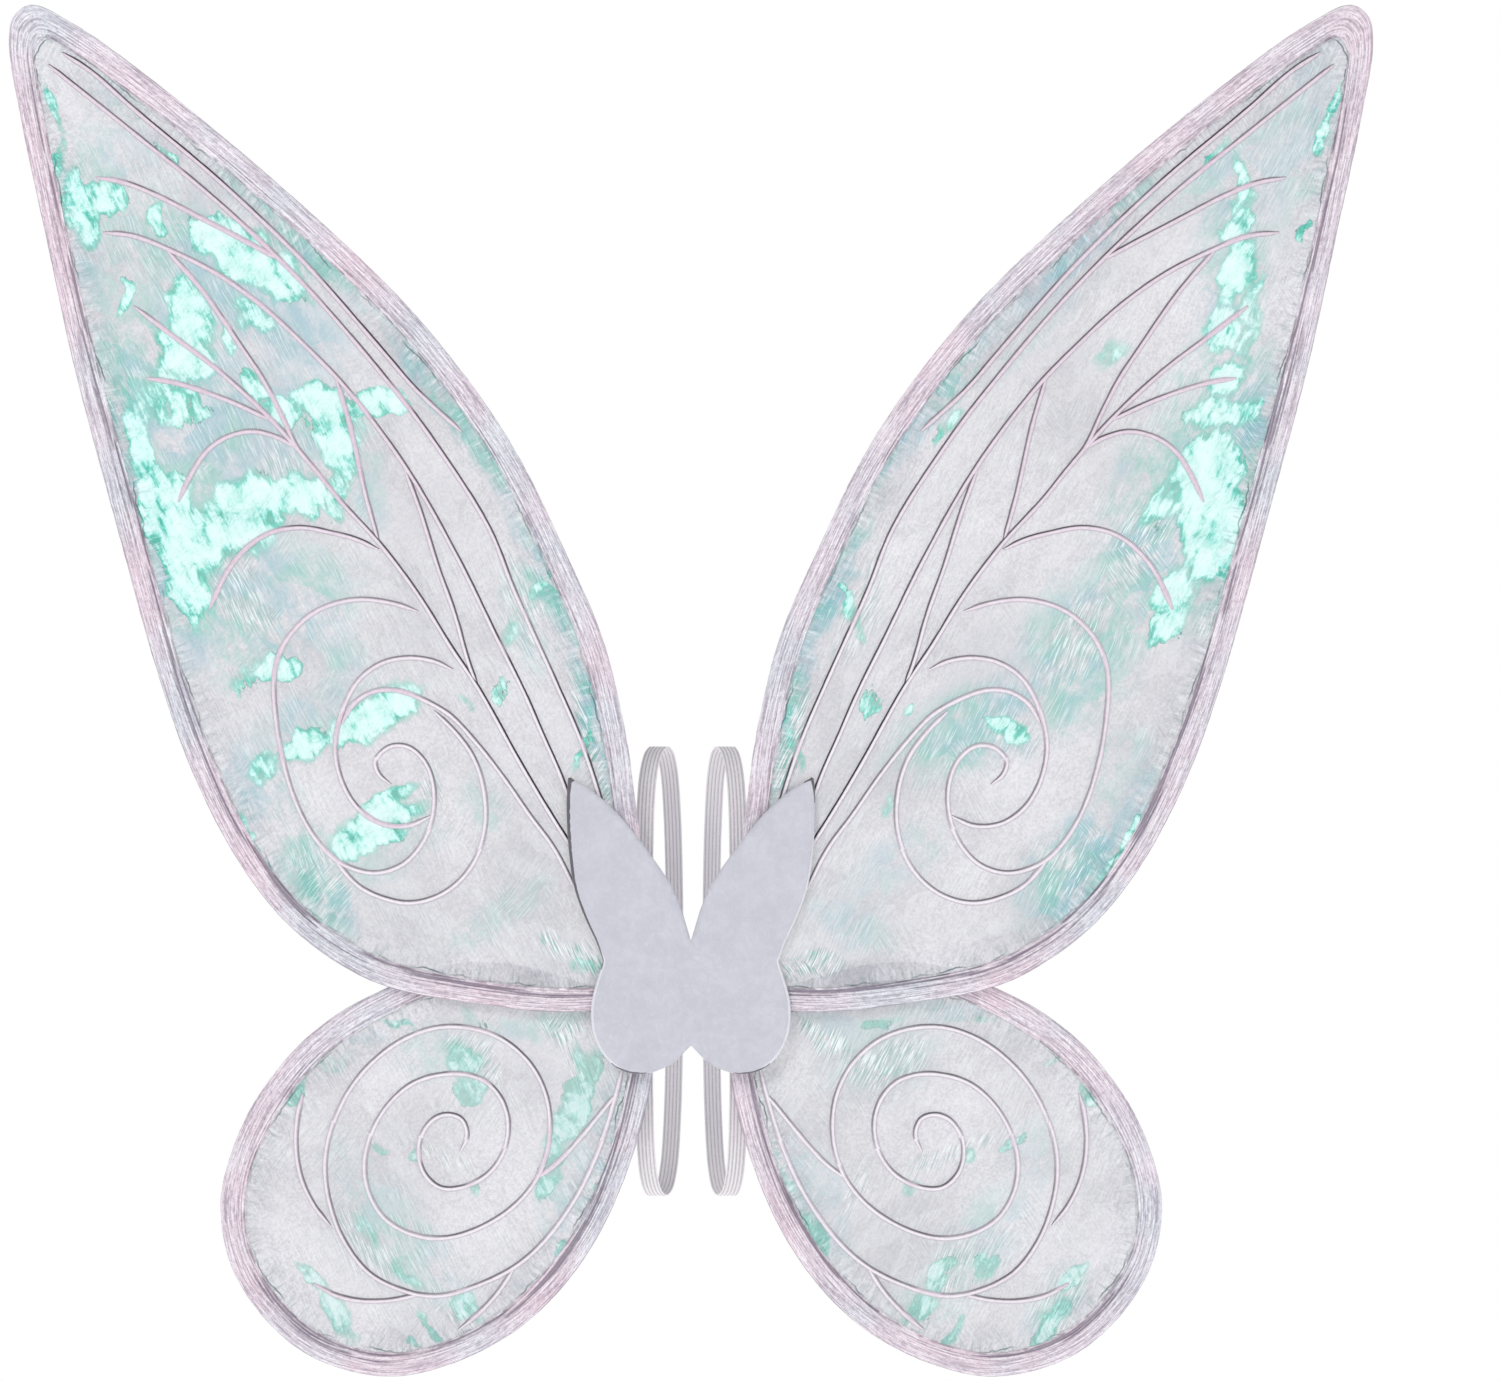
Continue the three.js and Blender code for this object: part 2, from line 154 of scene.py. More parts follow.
UPPER_SCROLL = [
    mm([[159, 221], [175, 226], [195, 228], [215, 223], [228, 214], [238, 201], [243, 185], [242, 158],
        [237, 130], [228, 104], [217, 86], [204, 74], [185, 68.5], [169, 73], [158, 84], [151, 100], [150, 118],
        [155, 133], [165, 142], [176, 142], [184, 134], [182, 126], [175, 120]]),
    mm([[139, 187], [150, 192], [165, 194], [180, 191], [193, 182], [202, 167], [207, 149], [207, 135],
        [202, 118], [193, 105], [180, 97], [165, 96], [151, 102]]),
    mm([[208, 76], [194, 61], [180, 54], [165, 51], [150, 54], [137, 62], [126, 76], [120, 96], [121, 118],
        [127, 136], [137, 150], [150, 163]]),
    mm([[67, 58], [80, 83], [94, 102], [110, 125], [125, 144], [140, 160], [155, 169], [172, 175], [186, 174],
        [197, 167], [204, 155]]),
]
LOWER_SCROLL = [
    mm([[135, -95], [131, -85], [134, -76], [142, -73], [151, -76], [158, -86], [159, -99], [155, -109],
        [146, -116], [132, -115], [118, -107], [109, -93], [107, -77], [111, -64], [120, -54], [133, -49.5],
        [148, -50], [163, -55], [177, -67], [187, -84], [191, -103], [188, -120], [178, -135], [160, -144],
        [142, -145], [121, -138], [102, -125], [89, -108], [83, -88], [84, -65], [93, -45], [109, -30],
        [127, -23], [147, -22], [168, -29], [188, -44], [203, -64], [213, -92], [213, -117], [204, -145],
        [188, -166], [165, -177], [147, -179], [125, -173], [103, -162], [85, -146], [66, -119], [52, -88],
        [44, -62], [40, -46]]),
    mm([[43, -60], [52, -71], [66, -88], [78, -101], [91, -111]]),
    mm([[103, -162], [113, -177], [124, -189], [136, -199]]),
    mm([[158, -178], [175, -181.5], [192, -182], [207, -179], [221, -172]]),
]
LOWER_ARC = [mm([[227, -61], [230, -74], [231, -92], [228, -110], [220, -127], [211, -138]])]
STRAP_PATH = mm([
    [-0.7, 31], [-0.7, 60], [0.5, 85], [3, 108], [9, 126], [19, 137], [33, 141], [47, 137.5], [57, 125],
    [64, 100], [68.5, 60], [70, 8], [68.5, -44], [64, -84], [57, -109], [47, -121.5], [33, -125], [19, -121],
    [9, -110], [3, -92], [0.5, -69], [-0.7, -50], [-0.7, -33],
])

# ---------- the film's mint shine, a painted reflection: x, z, half length, half width, angle in degrees, strength ---
SHINE = {
    "left_upper": [
        (355, 455, 24, 11, 80, 0.8), (338, 463, 14, 9, 30, 1.0), (311, 452, 9, 5, 90, 1.0),
        (256, 426, 40, 13, 33, 1.1), (281, 440, 13, 10, 60, 1.1), (255, 393, 15, 7, 35, 0.8),
        (293, 393, 22, 12, 80, 1.1), (298, 371, 20, 12, 40, 1.1), (272, 381, 11, 3.5, 85, 1.0),
        (331, 408, 14, 3.5, 110, 0.8), (255, 352, 13, 5, 40, 0.9), (213, 343, 20, 9, 15, 1.1),
        (209, 322, 26, 12, 70, 1.1), (180, 343, 18, 8, 0, 1.0), (304, 345, 24, 16, 20, 0.75),
        (238, 338, 12, 7, 35, 0.9), (203, 306, 34, 9, 98, 0.9), (233, 288, 26, 13, -10, 1.0),
        (262, 278, 26, 20, -30, 1.1), (300, 268, 36, 14, 80, 1.1), (317, 300, 44, 8, 78, 1.1),
        (292, 236, 26, 12, 70, 1.0), (285, 262, 18, 20, 0, 1.0), (240, 187, 15, 8, -20, 0.9),
        (258, 180, 14, 9, -30, 0.7), (185, 159, 30, 12, -33, 1.2), (226, 143, 15, 9, -33, 1.2),
        (249, 129, 10, 8, -40, 0.8), (184, 95, 29, 11, -27, 1.2), (176, 112, 19, 4.5, -25, 1.0),
        (258, 85, 26, 5, 60, 0.9), (60, 14, 10, 4, 20, 0.5), (90, 232, 16, 3.5, 115, 0.62),
        (106, 210, 16, 4, 105, 0.62),
        (110, 174, 10, 4, 80, 0.6), (130, 166, 8, 4, 50, 0.6), (60, 147, 20, 3, 105, 0.66),
        (371, 512, 16, 3, 75, 0.8), (369, 485, 14, 4, 95, 0.7), (305, 488, 12, 4, 50, 0.7),
    ],
    "left_upper_haze": [
        (300, 430, 40, 30, 60, 0.7), (315, 360, 45, 30, 80, 0.8), (235, 372, 45, 22, 30, 0.35),
        (250, 222, 50, 32, -20, 0.75), (205, 195, 14, 12, 0, 0.6), (120, 110, 16, 12, 60, 0.4),
        (216, 65, 32, 16, 60, 0.8), (250, 120, 25, 18, 60, 0.6), (280, 250, 50, 40, 70, 0.8),
        (190, 300, 30, 12, 80, 0.5), (110, 45, 34, 8, -35, 0.4), (95, 215, 30, 12, 70, 0.45),
        (230, 438, 50, 10, 44, 0.7), (345, 430, 40, 14, 80, 0.5), (225, 160, 40, 14, -30, 0.5),
        (185, 80, 40, 16, -20, 0.35), (56, 160, 50, 8, 75, 0.9), (330, 500, 40, 14, 60, 0.3),
        (84, 236, 40, 7, 62, 0.8), (140, 340, 60, 9, 54, 0.7), (300, 330, 60, 50, 70, 0.7),
        (255, 400, 60, 22, 35, 0.7), (225, 335, 40, 30, 40, 0.6), (345, 470, 30, 16, 75, 0.6),
    ],
    "right_upper": [
        (322, 470, 14, 5, 100, 1.0), (318, 448, 14, 7, 80, 0.9), (317, 420, 20, 10, 75, 1.15),
        (311, 386, 14, 11, 60, 1.0), (312, 357, 13, 9, 40, 1.1), (309, 337, 24, 8, 10, 0.85),
        (303, 300, 26, 20, 80, 1.15), (303, 268, 30, 19, 85, 1.15), (276, 288, 22, 11, 60, 0.75),
        (279, 226, 24, 11, 65, 1.0), (184, 151, 13, 6, -30, 1.1), (328, 395, 30, 5, 80, 0.7),
        (114, 109, 9, 4, 60, 0.58), (105, 167, 11, 3.5, 75, 0.6), (127, 162, 7, 4, 45, 0.58),
        (252, 82, 22, 4, 58, 0.95), (371, 502, 26, 4, 75, 0.75),
        (359, 445, 10, 4, 80, 0.7), (58, 147, 20, 3, 105, 0.66), (94, 222, 20, 3.5, 112, 0.62),
        (305, 488, 12, 4, 50, 0.6), (245, 372, 12, 6, 30, 0.6), (150, 330, 14, 4, 50, 0.6),
    ],
    "right_upper_haze": [
        (305, 300, 75, 34, 82, 0.9), (225, 192, 42, 24, 60, 0.8), (165, 152, 46, 22, 25, 0.8),
        (222, 72, 38, 20, 50, 0.85), (92, 38, 24, 12, -30, 0.4), (275, 290, 40, 28, 60, 0.7),
        (315, 430, 55, 20, 85, 0.6), (56, 160, 50, 8, 75, 0.9), (84, 236, 40, 7, 62, 0.8),
        (140, 340, 60, 9, 54, 0.7), (230, 438, 50, 10, 44, 0.7), (262, 250, 40, 26, 60, 0.8),
        (228, 200, 46, 30, 60, 0.7), (310, 480, 40, 10, 40, 0.5),
        (350, 490, 50, 20, 75, 0.4), (200, 390, 40, 12, 45, 0.3), (255, 120, 20, 30, 0, 0.45),
        (120, 75, 30, 14, 40, 0.35),
    ],
    "left_lower": [
        (126, -18, 11, 5, 30, 0.6), (64, -47, 17, 5, 70, 0.8), (172, -20, 13, 2.5, 20, 0.9),
        (132, -38, 13, 10, 50, 0.85),
        (128, -60, 10, 9, 30, 0.75), (70, -72, 42, 8, -68, 1.0), (80, -108, 18, 5, -70, 0.8),
        (45, -95, 8, 4, 110, 0.6), (53, -110, 8, 4, 110, 0.6), (75, -152, 8, 4, 110, 0.7),
        (163, -95, 5, 4, 40, 0.9), (183, -93, 6, 4, 20, 0.8), (190, -140, 12, 5, 45, 0.7),
        (166, -166, 14, 4, 50, 0.7), (231, -60, 10, 3, -60, 0.8), (133, -187, 10, 8, 30, 0.85),
        (154, -195, 12, 3, 60, 0.85), (162, -207, 5, 3, 30, 0.8), (221, -168, 14, 3.5, 35, 0.95),
        (207, -189, 18, 5, 55, 0.9), (126, -118, 5, 4, 60, 0.7),
    ],
    "left_lower_haze": [
        (95, -22, 32, 7, -10, 0.6), (186, -30, 14, 5, 0, 0.6), (145, -35, 24, 14, 0, 0.6),
        (78, -118, 28, 10, -80, 0.7), (66, -110, 20, 14, -60, 0.6), (175, -140, 44, 18, 48, 0.75),
        (207, -43, 10, 5, 0, 0.6), (145, -172, 20, 12, 20, 0.5), (200, -110, 24, 14, 80, 0.45),
        (60, -85, 40, 18, -60, 0.4),
    ],
    "right_lower": [
        (112, -20, 14, 5, 20, 0.6), (172, -17, 13, 2.5, 20, 0.6), (112, -52, 12, 4, 30, 0.5),
        (165, -95, 5, 4, 40, 0.8),
        (187, -90, 7, 4, 30, 0.8), (127, -118, 6, 4, 60, 0.75), (48, -95, 8, 4, 110, 0.6),
        (55, -110, 8, 4, 110, 0.6), (71, -143, 17, 7, 120, 0.85), (145, -167, 12, 6, 55, 0.85),
        (135, -188, 12, 8, 40, 0.9), (155, -198, 12, 4, 60, 0.85), (172, -162, 13, 5, 50, 0.75),
        (211, -192, 20, 6, 55, 0.9), (223, -168, 12, 4, 35, 0.95), (234, -61, 10, 4, -55, 0.8),
        (211, -44, 8, 3, 0, 0.6),
    ],
    "right_lower_haze": [
        (152, -14, 26, 7, 0, 0.5), (110, -40, 34, 20, 20, 0.5), (75, -120, 40, 14, -70, 0.5),
        (165, -150, 44, 18, 48, 0.6), (145, -180, 26, 14, 20, 0.55), (215, -180, 24, 12, 50, 0.5),
        (200, -100, 24, 14, 80, 0.4), (95, -22, 32, 7, -10, 0.5),
    ],
}

# ---------- where the film's fine stretch lines stand out in teal, in the same six numbers ----------
STROKES = {
    "left_upper": [(62, 18, 15, 9, 20, 1.0), (80, 26, 9, 9, 60, 0.9), (216, 65, 24, 12, 60, 0.6),
                   (262, 232, 30, 14, 60, 0.7), (150, 118, 12, 6, 100, 0.7), (238, 300, 22, 12, 60, 0.6),
                   (60, 140, 40, 6, 78, 0.9), (98, 222, 34, 9, 70, 0.6)],
    "right_upper": [(70, 14, 20, 7, 8, 1.0), (222, 72, 26, 14, 50, 0.7), (262, 262, 30, 14, 60, 0.8),
                    (225, 205, 34, 14, 60, 0.7), (305, 215, 14, 8, 70, 0.6), (186, 150, 20, 10, -30, 0.6),
                    (60, 140, 40, 6, 78, 0.9), (98, 222, 34, 9, 70, 0.6)],
    "left_lower": [(76, -24, 16, 6, 20, 0.9), (66, -46, 18, 6, 70, 0.7), (126, -40, 20, 10, 40, 0.7),
                   (150, -95, 26, 6, 20, 0.5), (190, -150, 30, 12, 50, 0.6), (140, -185, 18, 10, 40, 0.6)],
    "right_lower": [(80, -30, 18, 8, -30, 1.0), (112, -44, 24, 12, 20, 0.8), (150, -96, 36, 6, 20, 0.6),
                    (150, -165, 22, 9, 55, 0.7), (214, -184, 22, 9, 50, 0.7), (95, -120, 20, 5, 75, 0.5)],
}


# ---------- lines in a plane, as arrays of two columns ----------
def smooth(points, steps=6):
    """A centripetal Catmull-Rom line through the points, the same curve as the CAD's."""
    p = np.vstack([2 * points[0] - points[1], points, 2 * points[-1] - points[-2]])
    d = np.sqrt(np.maximum(np.linalg.norm(np.diff(p, axis=0), axis=1), 1e-9))[:, None]
    p0, p1, p2, p3 = p[:-3], p[1:-2], p[2:-1], p[3:]
    d0, d1, d2 = d[:-2], d[1:-1], d[2:]
    t1 = ((p1 - p0) / d0 - (p2 - p0) / (d0 + d1) + (p2 - p1) / d1) * d1
    t2 = ((p2 - p1) / d1 - (p3 - p1) / (d1 + d2) + (p3 - p2) / d2) * d1
    made = []
    for step in range(steps):
        t = step / steps
        a, b = 2 * t**3 - 3 * t**2 + 1, t**3 - 2 * t**2 + t
        c, e = -2 * t**3 + 3 * t**2, t**3 - t**2
        made.append(a * p1 + b * t1 + c * p2 + e * t2)
    return np.vstack([np.stack(made, axis=1).reshape(-1, points.shape[1]), points[-1:]])


def arc(line):
    return np.concatenate([[0], np.cumsum(np.linalg.norm(np.diff(line, axis=0), axis=1))])


def resample(line, step):
    along = arc(line)
    at = np.linspace(0, along[-1], max(2, round(along[-1] / step) + 1))
    return np.stack([np.interp(at, along, line[:, k]) for k in range(line.shape[1])], axis=1)


def tangents(line):
    t = np.gradient(line, axis=0)
    return t / np.maximum(np.linalg.norm(t, axis=1), 1e-12)[:, None]


def right_of(line):
    t = tangents(line)
    return np.stack([t[:, 1], -t[:, 0]], axis=1)


def nearest(points, line):
    """Each point's distance to the line, and how far along the line the nearest place is."""
    a, b = line[:-1], line[1:]
    d = b - a
    size = np.maximum((d * d).sum(1), 1e-18)
    start = arc(line)[:-1]
    length = np.sqrt(size)
    best, where = np.full(len(points), np.inf), np.zeros(len(points))
    for chunk in range(0, len(points), 4000):
        p = points[chunk:chunk + 4000, None, :]
        t = np.clip(((p - a) * d).sum(2) / size, 0, 1)
        away = np.linalg.norm(p - a - t[..., None] * d, axis=2)
        pick = away.argmin(1)
        rows = np.arange(len(pick))
        best[chunk:chunk + 4000] = away[rows, pick]
        where[chunk:chunk + 4000] = start[pick] + t[rows, pick] * length[pick]
    return best, where


def inside(points, outline):
    """Which points lie inside the closed outline."""
    x, z = points[:, 0][:, None], points[:, 1][:, None]
    x0, z0 = outline[:, 0], outline[:, 1]
    x1, z1 = np.roll(x0, -1), np.roll(z0, -1)
    crosses = (z0 > z) != (z1 > z)
    at = x0 + (z - z0) * (x1 - x0) / np.where(z1 == z0, 1e-12, z1 - z0)
    return (crosses & (x < at)).sum(1) % 2 == 1


def signed_area(outline):
    """Positive where the outline runs anticlockwise."""
    x, z = outline[:, 0], outline[:, 1]
    return (np.dot(x, np.roll(z, -1)) - np.dot(z, np.roll(x, -1))) / 2


def area_of(outline):
    return abs(signed_area(outline))


def closed(outline):
    return np.vstack([outline, outline[:1]])


def other_half(line):
    """The line's mirror image, run the other way."""
    return (line * [-1, 1])[::-1]


def rectangle(low, high, inset):
    """The closed outline inset from a box's corners."""
    x0, x1, z0, z1 = low.x + inset, high.x - inset, low.z + inset, high.z - inset
    return np.array([(x0, z0), (x1, z0), (x1, z1), (x0, z1), (x0, z0)])


def ramp(low, high, values):
    t = np.clip((values - low) / (high - low), 0, 1)
    return t * t * (3 - 2 * t)


def noise2(points, size, seed):
    """Smooth random values from -1 to 1, with features of that size."""
    cells = 61
    lattice = np.random.default_rng(seed).uniform(-1, 1, (cells, cells))
    p = points / size
    low = np.floor(p).astype(int)
    f = p - low
    f = f * f * (3 - 2 * f)
    i, j = low[:, 0] % cells, low[:, 1] % cells
    i1, j1 = (i + 1) % cells, (j + 1) % cells
    near = lattice[i, j] * (1 - f[:, 0]) + lattice[i1, j] * f[:, 0]
    far = lattice[i, j1] * (1 - f[:, 0]) + lattice[i1, j1] * f[:, 0]
    return near * (1 - f[:, 1]) + far * f[:, 1]


def blots(points, marks, seed):
    """How strongly the marks cover each point, their edges made ragged."""
    wobble = np.stack([noise2(points, 0.011, seed + k) + 0.5 * noise2(points, 0.005, seed + 7 + k)
                       for k in (0, 1)], axis=1)
    p = points + 0.0035 * wobble
    strength = np.zeros(len(points))
    for x, z, half_length, half_width, angle, power in marks:
        turn = math.radians(angle)
        d = p - mm([x, z])
        u = (d[:, 0] * math.cos(turn) + d[:, 1] * math.sin(turn)) / (half_length * 0.001)
        v = (d[:, 1] * math.cos(turn) - d[:, 0] * math.sin(turn)) / (half_width * 0.001)
        strength = np.maximum(strength, power * ramp(1.5, 0.55, np.hypot(u, v)))
    return strength


# ---------- meshes ----------
def mesh_object(name, points, faces, attributes=None, material=None):
    mesh = bpy.data.meshes.new(name)
    mesh.from_pydata(np.asarray(points, float).tolist(), [], [tuple(f) for f in faces])
    for key, values in (attributes or {}).items():
        values = np.asarray(values, np.float32)
        kind = "FLOAT" if values.ndim == 1 else "FLOAT_VECTOR"
        data = mesh.attributes.new(key, kind, "POINT").data
        data.foreach_set("value" if kind == "FLOAT" else "vector", values.ravel())
    mesh.polygons.foreach_set("use_smooth", [True] * len(mesh.polygons))
    mesh.update()
    made = bpy.data.objects.new(name, mesh)
    bpy.context.scene.collection.objects.link(made)
    if material:
        mesh.materials.append(material)
    return made


def grid_faces(rows, columns, ring=False, flip=False, start=0):
    """Quads of a grid of points; ring joins its last column to its first."""
    i, j = np.meshgrid(np.arange(rows - 1), np.arange(columns if ring else columns - 1), indexing="ij")
    k = (j + 1) % columns
    quads = np.stack([i * columns + j, i * columns + k, (i + 1) * columns + k, (i + 1) * columns + j], axis=-1)
    quads = quads.reshape(-1, 4) + start
    return quads[:, ::-1] if flip else quads


def swept_faces(rows, columns, flip=False, start=0):
    """Faces of a closed section swept along rows, with a face on each end."""
    faces = [tuple(quad) for quad in grid_faces(rows, columns, ring=True, start=start)]
    last = start + (rows - 1) * columns
    faces.append(tuple(range(start + columns - 1, start - 1, -1)))
    faces.append(tuple(range(last, last + columns)))
    return [face[::-1] for face in faces] if flip else faces


def in_plane(places, y):
    """The 3-D points of a line or grid of places in x and z, at that y or those ys."""
    y = np.broadcast_to(y, places.shape[:-1])
    return np.stack([places[..., 0], y, places[..., 1]], axis=-1).reshape(-1, 3)


def mirrored(points, sign):
    return points * np.array([sign, 1, 1])


def fill_outline(outline, pitch, seed, jitter=0.25):
    """Triangles that fill an outline, from an uneven lattice of points: (points, triangles, edge count)."""
    edge = resample(closed(outline), pitch)[:-1]
    low, high = outline.min(0), outline.max(0)
    columns = np.arange(low[0], high[0], pitch)
    rows = np.arange(low[1], high[1], pitch * 0.866)
    x, z = np.meshgrid(columns, rows)
    x = x + (np.arange(len(rows)) % 2 * pitch / 2)[:, None]
    lattice = np.stack([x.ravel(), z.ravel()], axis=1)
    lattice += np.random.default_rng(seed).uniform(-jitter, jitter, lattice.shape) * pitch
    lattice = lattice[inside(lattice, edge)]
    away, _ = nearest(lattice, closed(edge))
    lattice = lattice[away > 0.6 * pitch]
    points = np.vstack([edge, lattice])
    made = delaunay_2d_cdt([Vector(p) for p in points * 1000], [], [list(range(len(edge)))], 1, 1e-6)
    flat = np.array([[v.x, v.y] for v in made[0]]) / 1000
    return flat, np.array([list(f) for f in made[2]], int), len(edge)


def felt_sheet(name, outline, y, thick, material, seed, flush=None, roll=0.0006, swell=0.00025, pitch=0.0028,
               rim_widths=None):
    """A cut piece of felt with soft edges.

    flush says which edge points keep a straight cut, and roll how far the other edges round off. The faces
    stand up and down by about swell. rim_widths gives the widths of the painted shadow line and the pale line
    that the material draws along the edge.
    """
    flat, triangles, count = fill_outline(outline, pitch, seed)
    loop = flat[:count]
    anticlockwise = signed_area(loop) > 0
    outward = right_of(np.vstack([loop[-1:], loop, loop[:1]]))[1:-1] * (1 if anticlockwise else -1)
    soft = np.ones(count) if flush is None else np.where(flush(loop), 0.0, 1.0)
    face = flat.copy()
    face[:count] = loop - outward * (roll * soft)[:, None]
    lift = swell * (noise2(flat, 0.013, seed) + 0.5 * noise2(flat, 0.005, seed + 1))
    points = np.vstack([in_plane(face, y - thick / 2 + lift), in_plane(face, y + thick / 2 + lift),
                        in_plane(loop, y + lift[:count])])
    n = len(flat)
    ring = np.arange(count)
    after = np.roll(ring, -1)
    faces = [tuple(t) for t in triangles] + [tuple(t[::-1] + n) for t in triangles]
    for side in (np.stack([ring, 2 * n + ring, 2 * n + after, after], 1),
                 np.stack([2 * n + ring, n + ring, n + after, 2 * n + after], 1)):
        faces += [tuple(q if anticlockwise else q[::-1]) for q in side]
    rim = None
    if rim_widths is not None:
        away, _ = nearest(flat, closed(loop))
        values = np.column_stack([away, rim_widths(flat)])
        rim = {"rim": np.vstack([values, values, values[:count]])}
    piece = mesh_object(name, points, faces, rim, material)
    if flush is not None:
        cut = set(np.flatnonzero(soft == 0).tolist())
        for edge in piece.data.edges:
            a, b = edge.vertices
            edge.use_edge_sharp = (a in cut and b in cut) or (a - n in cut and b - n in cut)
    return piece


def tube(points, radii, sides, start=0):
    """The points and faces of a closed tube along 3-D points."""
    t = tangents(points)
    across = np.cross(t, [0, 1, 0])
    weak = np.linalg.norm(across, axis=1) < 1e-3
    across[weak] = [1, 0, 0]
    across /= np.linalg.norm(across, axis=1)[:, None]
    up = np.cross(across, t)
    angle = np.linspace(0, 2 * math.pi, sides, endpoint=False)
    ring = (across[:, None, :] * (np.cos(angle)[:, None] * radii[:, None, None])
            + up[:, None, :] * (np.sin(angle)[:, None] * radii[:, None, None]))
    return (points[:, None, :] + ring).reshape(-1, 3), swept_faces(len(points), sides, start=start)


def joined_tubes(name, lines, sides, material):
    points, faces = [], []
    count = 0
    for line, radii in lines:
        skin, made = tube(line, radii, sides, count)
        points.append(skin)
        faces += made
        count += len(skin)
    return mesh_object(name, np.vstack(points), faces, None, material)


def stitches(name, line, material, length=0.0026, gap=0.0012, radius=0.00028):
    """A row of short thread stitches along 3-D points."""
    along = arc(line)
    lines = []
    for at in np.arange(0, along[-1] - length, length + gap):
        spots = at + length * np.array([0, 0.15, 0.5, 0.85, 1])
        p = np.stack([np.interp(spots, along, line[:, k]) for k in range(3)], axis=1)
        lines.append((p, radius * np.array([0.35, 0.85, 1, 0.85, 0.35])))
    return joined_tubes(name, lines, 6, material)


# ---------- materials ----------
WHITE = (1, 1, 1, 1)


def rgb(red, green, blue):
    """A colour given as screen values from 0 to 255, as Blender's linear colour."""
    linear = [v / 255 / 12.92 if v <= 10 else ((v / 255 + 0.055) / 1.055) ** 2.4 for v in (red, green, blue)]
    return (*linear, 1.0)


class Shader:
    """The node tree of a material, or of the world, with a short call for each kind of node."""

    def __init__(self, name, owners=None):
        self.owner = (bpy.data.materials if owners is None else owners).new(name)
        self.owner.use_nodes = True
        self.tree = self.owner.node_tree
        self.tree.nodes.clear()

    def node(self, kind, inputs=None, **settings):
        made = self.tree.nodes.new(kind)
        for key, value in settings.items():
            setattr(made, key, value)
        for key, value in (inputs or {}).items():
            if isinstance(value, bpy.types.NodeSocket):
                self.tree.links.new(value, made.inputs[key])
            else:
                made.inputs[key].default_value = value
        return made

    def place(self, scale=(1, 1, 1), turn=(0, 0, 0), shift=(0, 0, 0)):
        """Object coordinates, shifted and turned, then scaled."""
        here = self.node("ShaderNodeTexCoord").outputs["Object"]
        turned = self.node("ShaderNodeMapping", {0: here, 1: shift, 2: turn}).outputs[0]
        return self.node("ShaderNodeMapping", {0: turned, 3: scale}).outputs[0]

    def value_of(self, name):
        return self.node("ShaderNodeAttribute", attribute_name=name).outputs["Fac"]

    def parts_of(self, name):
        vector = self.node("ShaderNodeAttribute", attribute_name=name).outputs["Vector"]
        return self.node("ShaderNodeSeparateXYZ", {0: vector}).outputs

    def vector(self, x, y, z):
        return self.node("ShaderNodeCombineXYZ", {0: x, 1: y, 2: z}).outputs[0]

    def noise(self, vector, scale, detail=3.0, rough=0.55, distortion=0.0, output="Fac"):
        return self.node("ShaderNodeTexNoise", {"Vector": vector, "Scale": scale, "Detail": detail,
                                                "Roughness": rough, "Distortion": distortion}).outputs[output]

    def turned(self, vector, scale, degrees):
        """The plane of the wings turned about Y, then scaled."""
        spun = self.node("ShaderNodeMapping", {0: vector, 2: (0, math.radians(degrees), 0)}).outputs[0]
        return self.node("ShaderNodeMapping", {0: spun, 3: scale}).outputs[0]

    def warped(self, vector, scale, reach):
        """The place pushed about by noise, up to about half the reach each way."""
        push = self.noise(vector, scale, 2.0, output="Color")
        push = self.node("ShaderNodeVectorMath", {0: push, 1: (0.5, 0.5, 0.5)}, operation="SUBTRACT").outputs[0]
        push = self.node("ShaderNodeVectorMath", {0: push, 3: reach}, operation="SCALE").outputs[0]
        return self.node("ShaderNodeVectorMath", {0: vector, 1: push}, operation="ADD").outputs[0]

    def cells(self, vector, scale, degrees):
        """A random value from 0 to 1 for each of a field of long angular cells."""
        inputs = {"Vector": self.turned(vector, scale, degrees), "Scale": 1.0}
        colour = self.node("ShaderNodeTexVoronoi", inputs, feature="F1").outputs["Color"]
        return self.node("ShaderNodeSeparateXYZ", {0: colour}).outputs[0]

    def add(self, *terms, shift=0.0):
        """A weighted sum: each term is a value or a pair of value and weight."""
        total = shift
        for term in terms:
            value, weight = term if isinstance(term, tuple) else (term, 1.0)
            total = self.math("MULTIPLY_ADD", value, weight, total)
        return total

    def times(self, a, b, clamp=False):
        return self.math("MULTIPLY", a, b, clamp=clamp)

    def math(self, operation, a, b=0.0, c=0.0, clamp=False):
        return self.node("ShaderNodeMath", {0: a, 1: b, 2: c}, operation=operation, use_clamp=clamp).outputs[0]

    def step(self, value, low, high, to_low=0.0, to_high=1.0):
        return self.node("ShaderNodeMapRange", {0: value, 1: low, 2: high, 3: to_low, 4: to_high},
                         interpolation_type="SMOOTHSTEP").outputs[0]

    def mix(self, share, a, b):
        return self.node("ShaderNodeMix", {0: share, 6: a, 7: b}, data_type="RGBA").outputs[2]

    def ramp(self, value, stops):
        made = self.node("ShaderNodeValToRGB", {0: value})
        ends = made.color_ramp.elements
        while len(ends) < len(stops):
            ends.new(0.5)
        for end, (at, colour) in zip(ends, stops):
            end.position = at
        for end, (at, colour) in zip(ends, stops):
            end.color = colour
        return made.outputs[0]

    def for_camera(self, seen, otherwise):
        """One shader as the camera sees it directly, and another for every other ray."""
        direct = self.node("ShaderNodeLightPath").outputs["Is Camera Ray"]
        return self.node("ShaderNodeMixShader", {0: direct, 1: otherwise, 2: seen}).outputs[0]

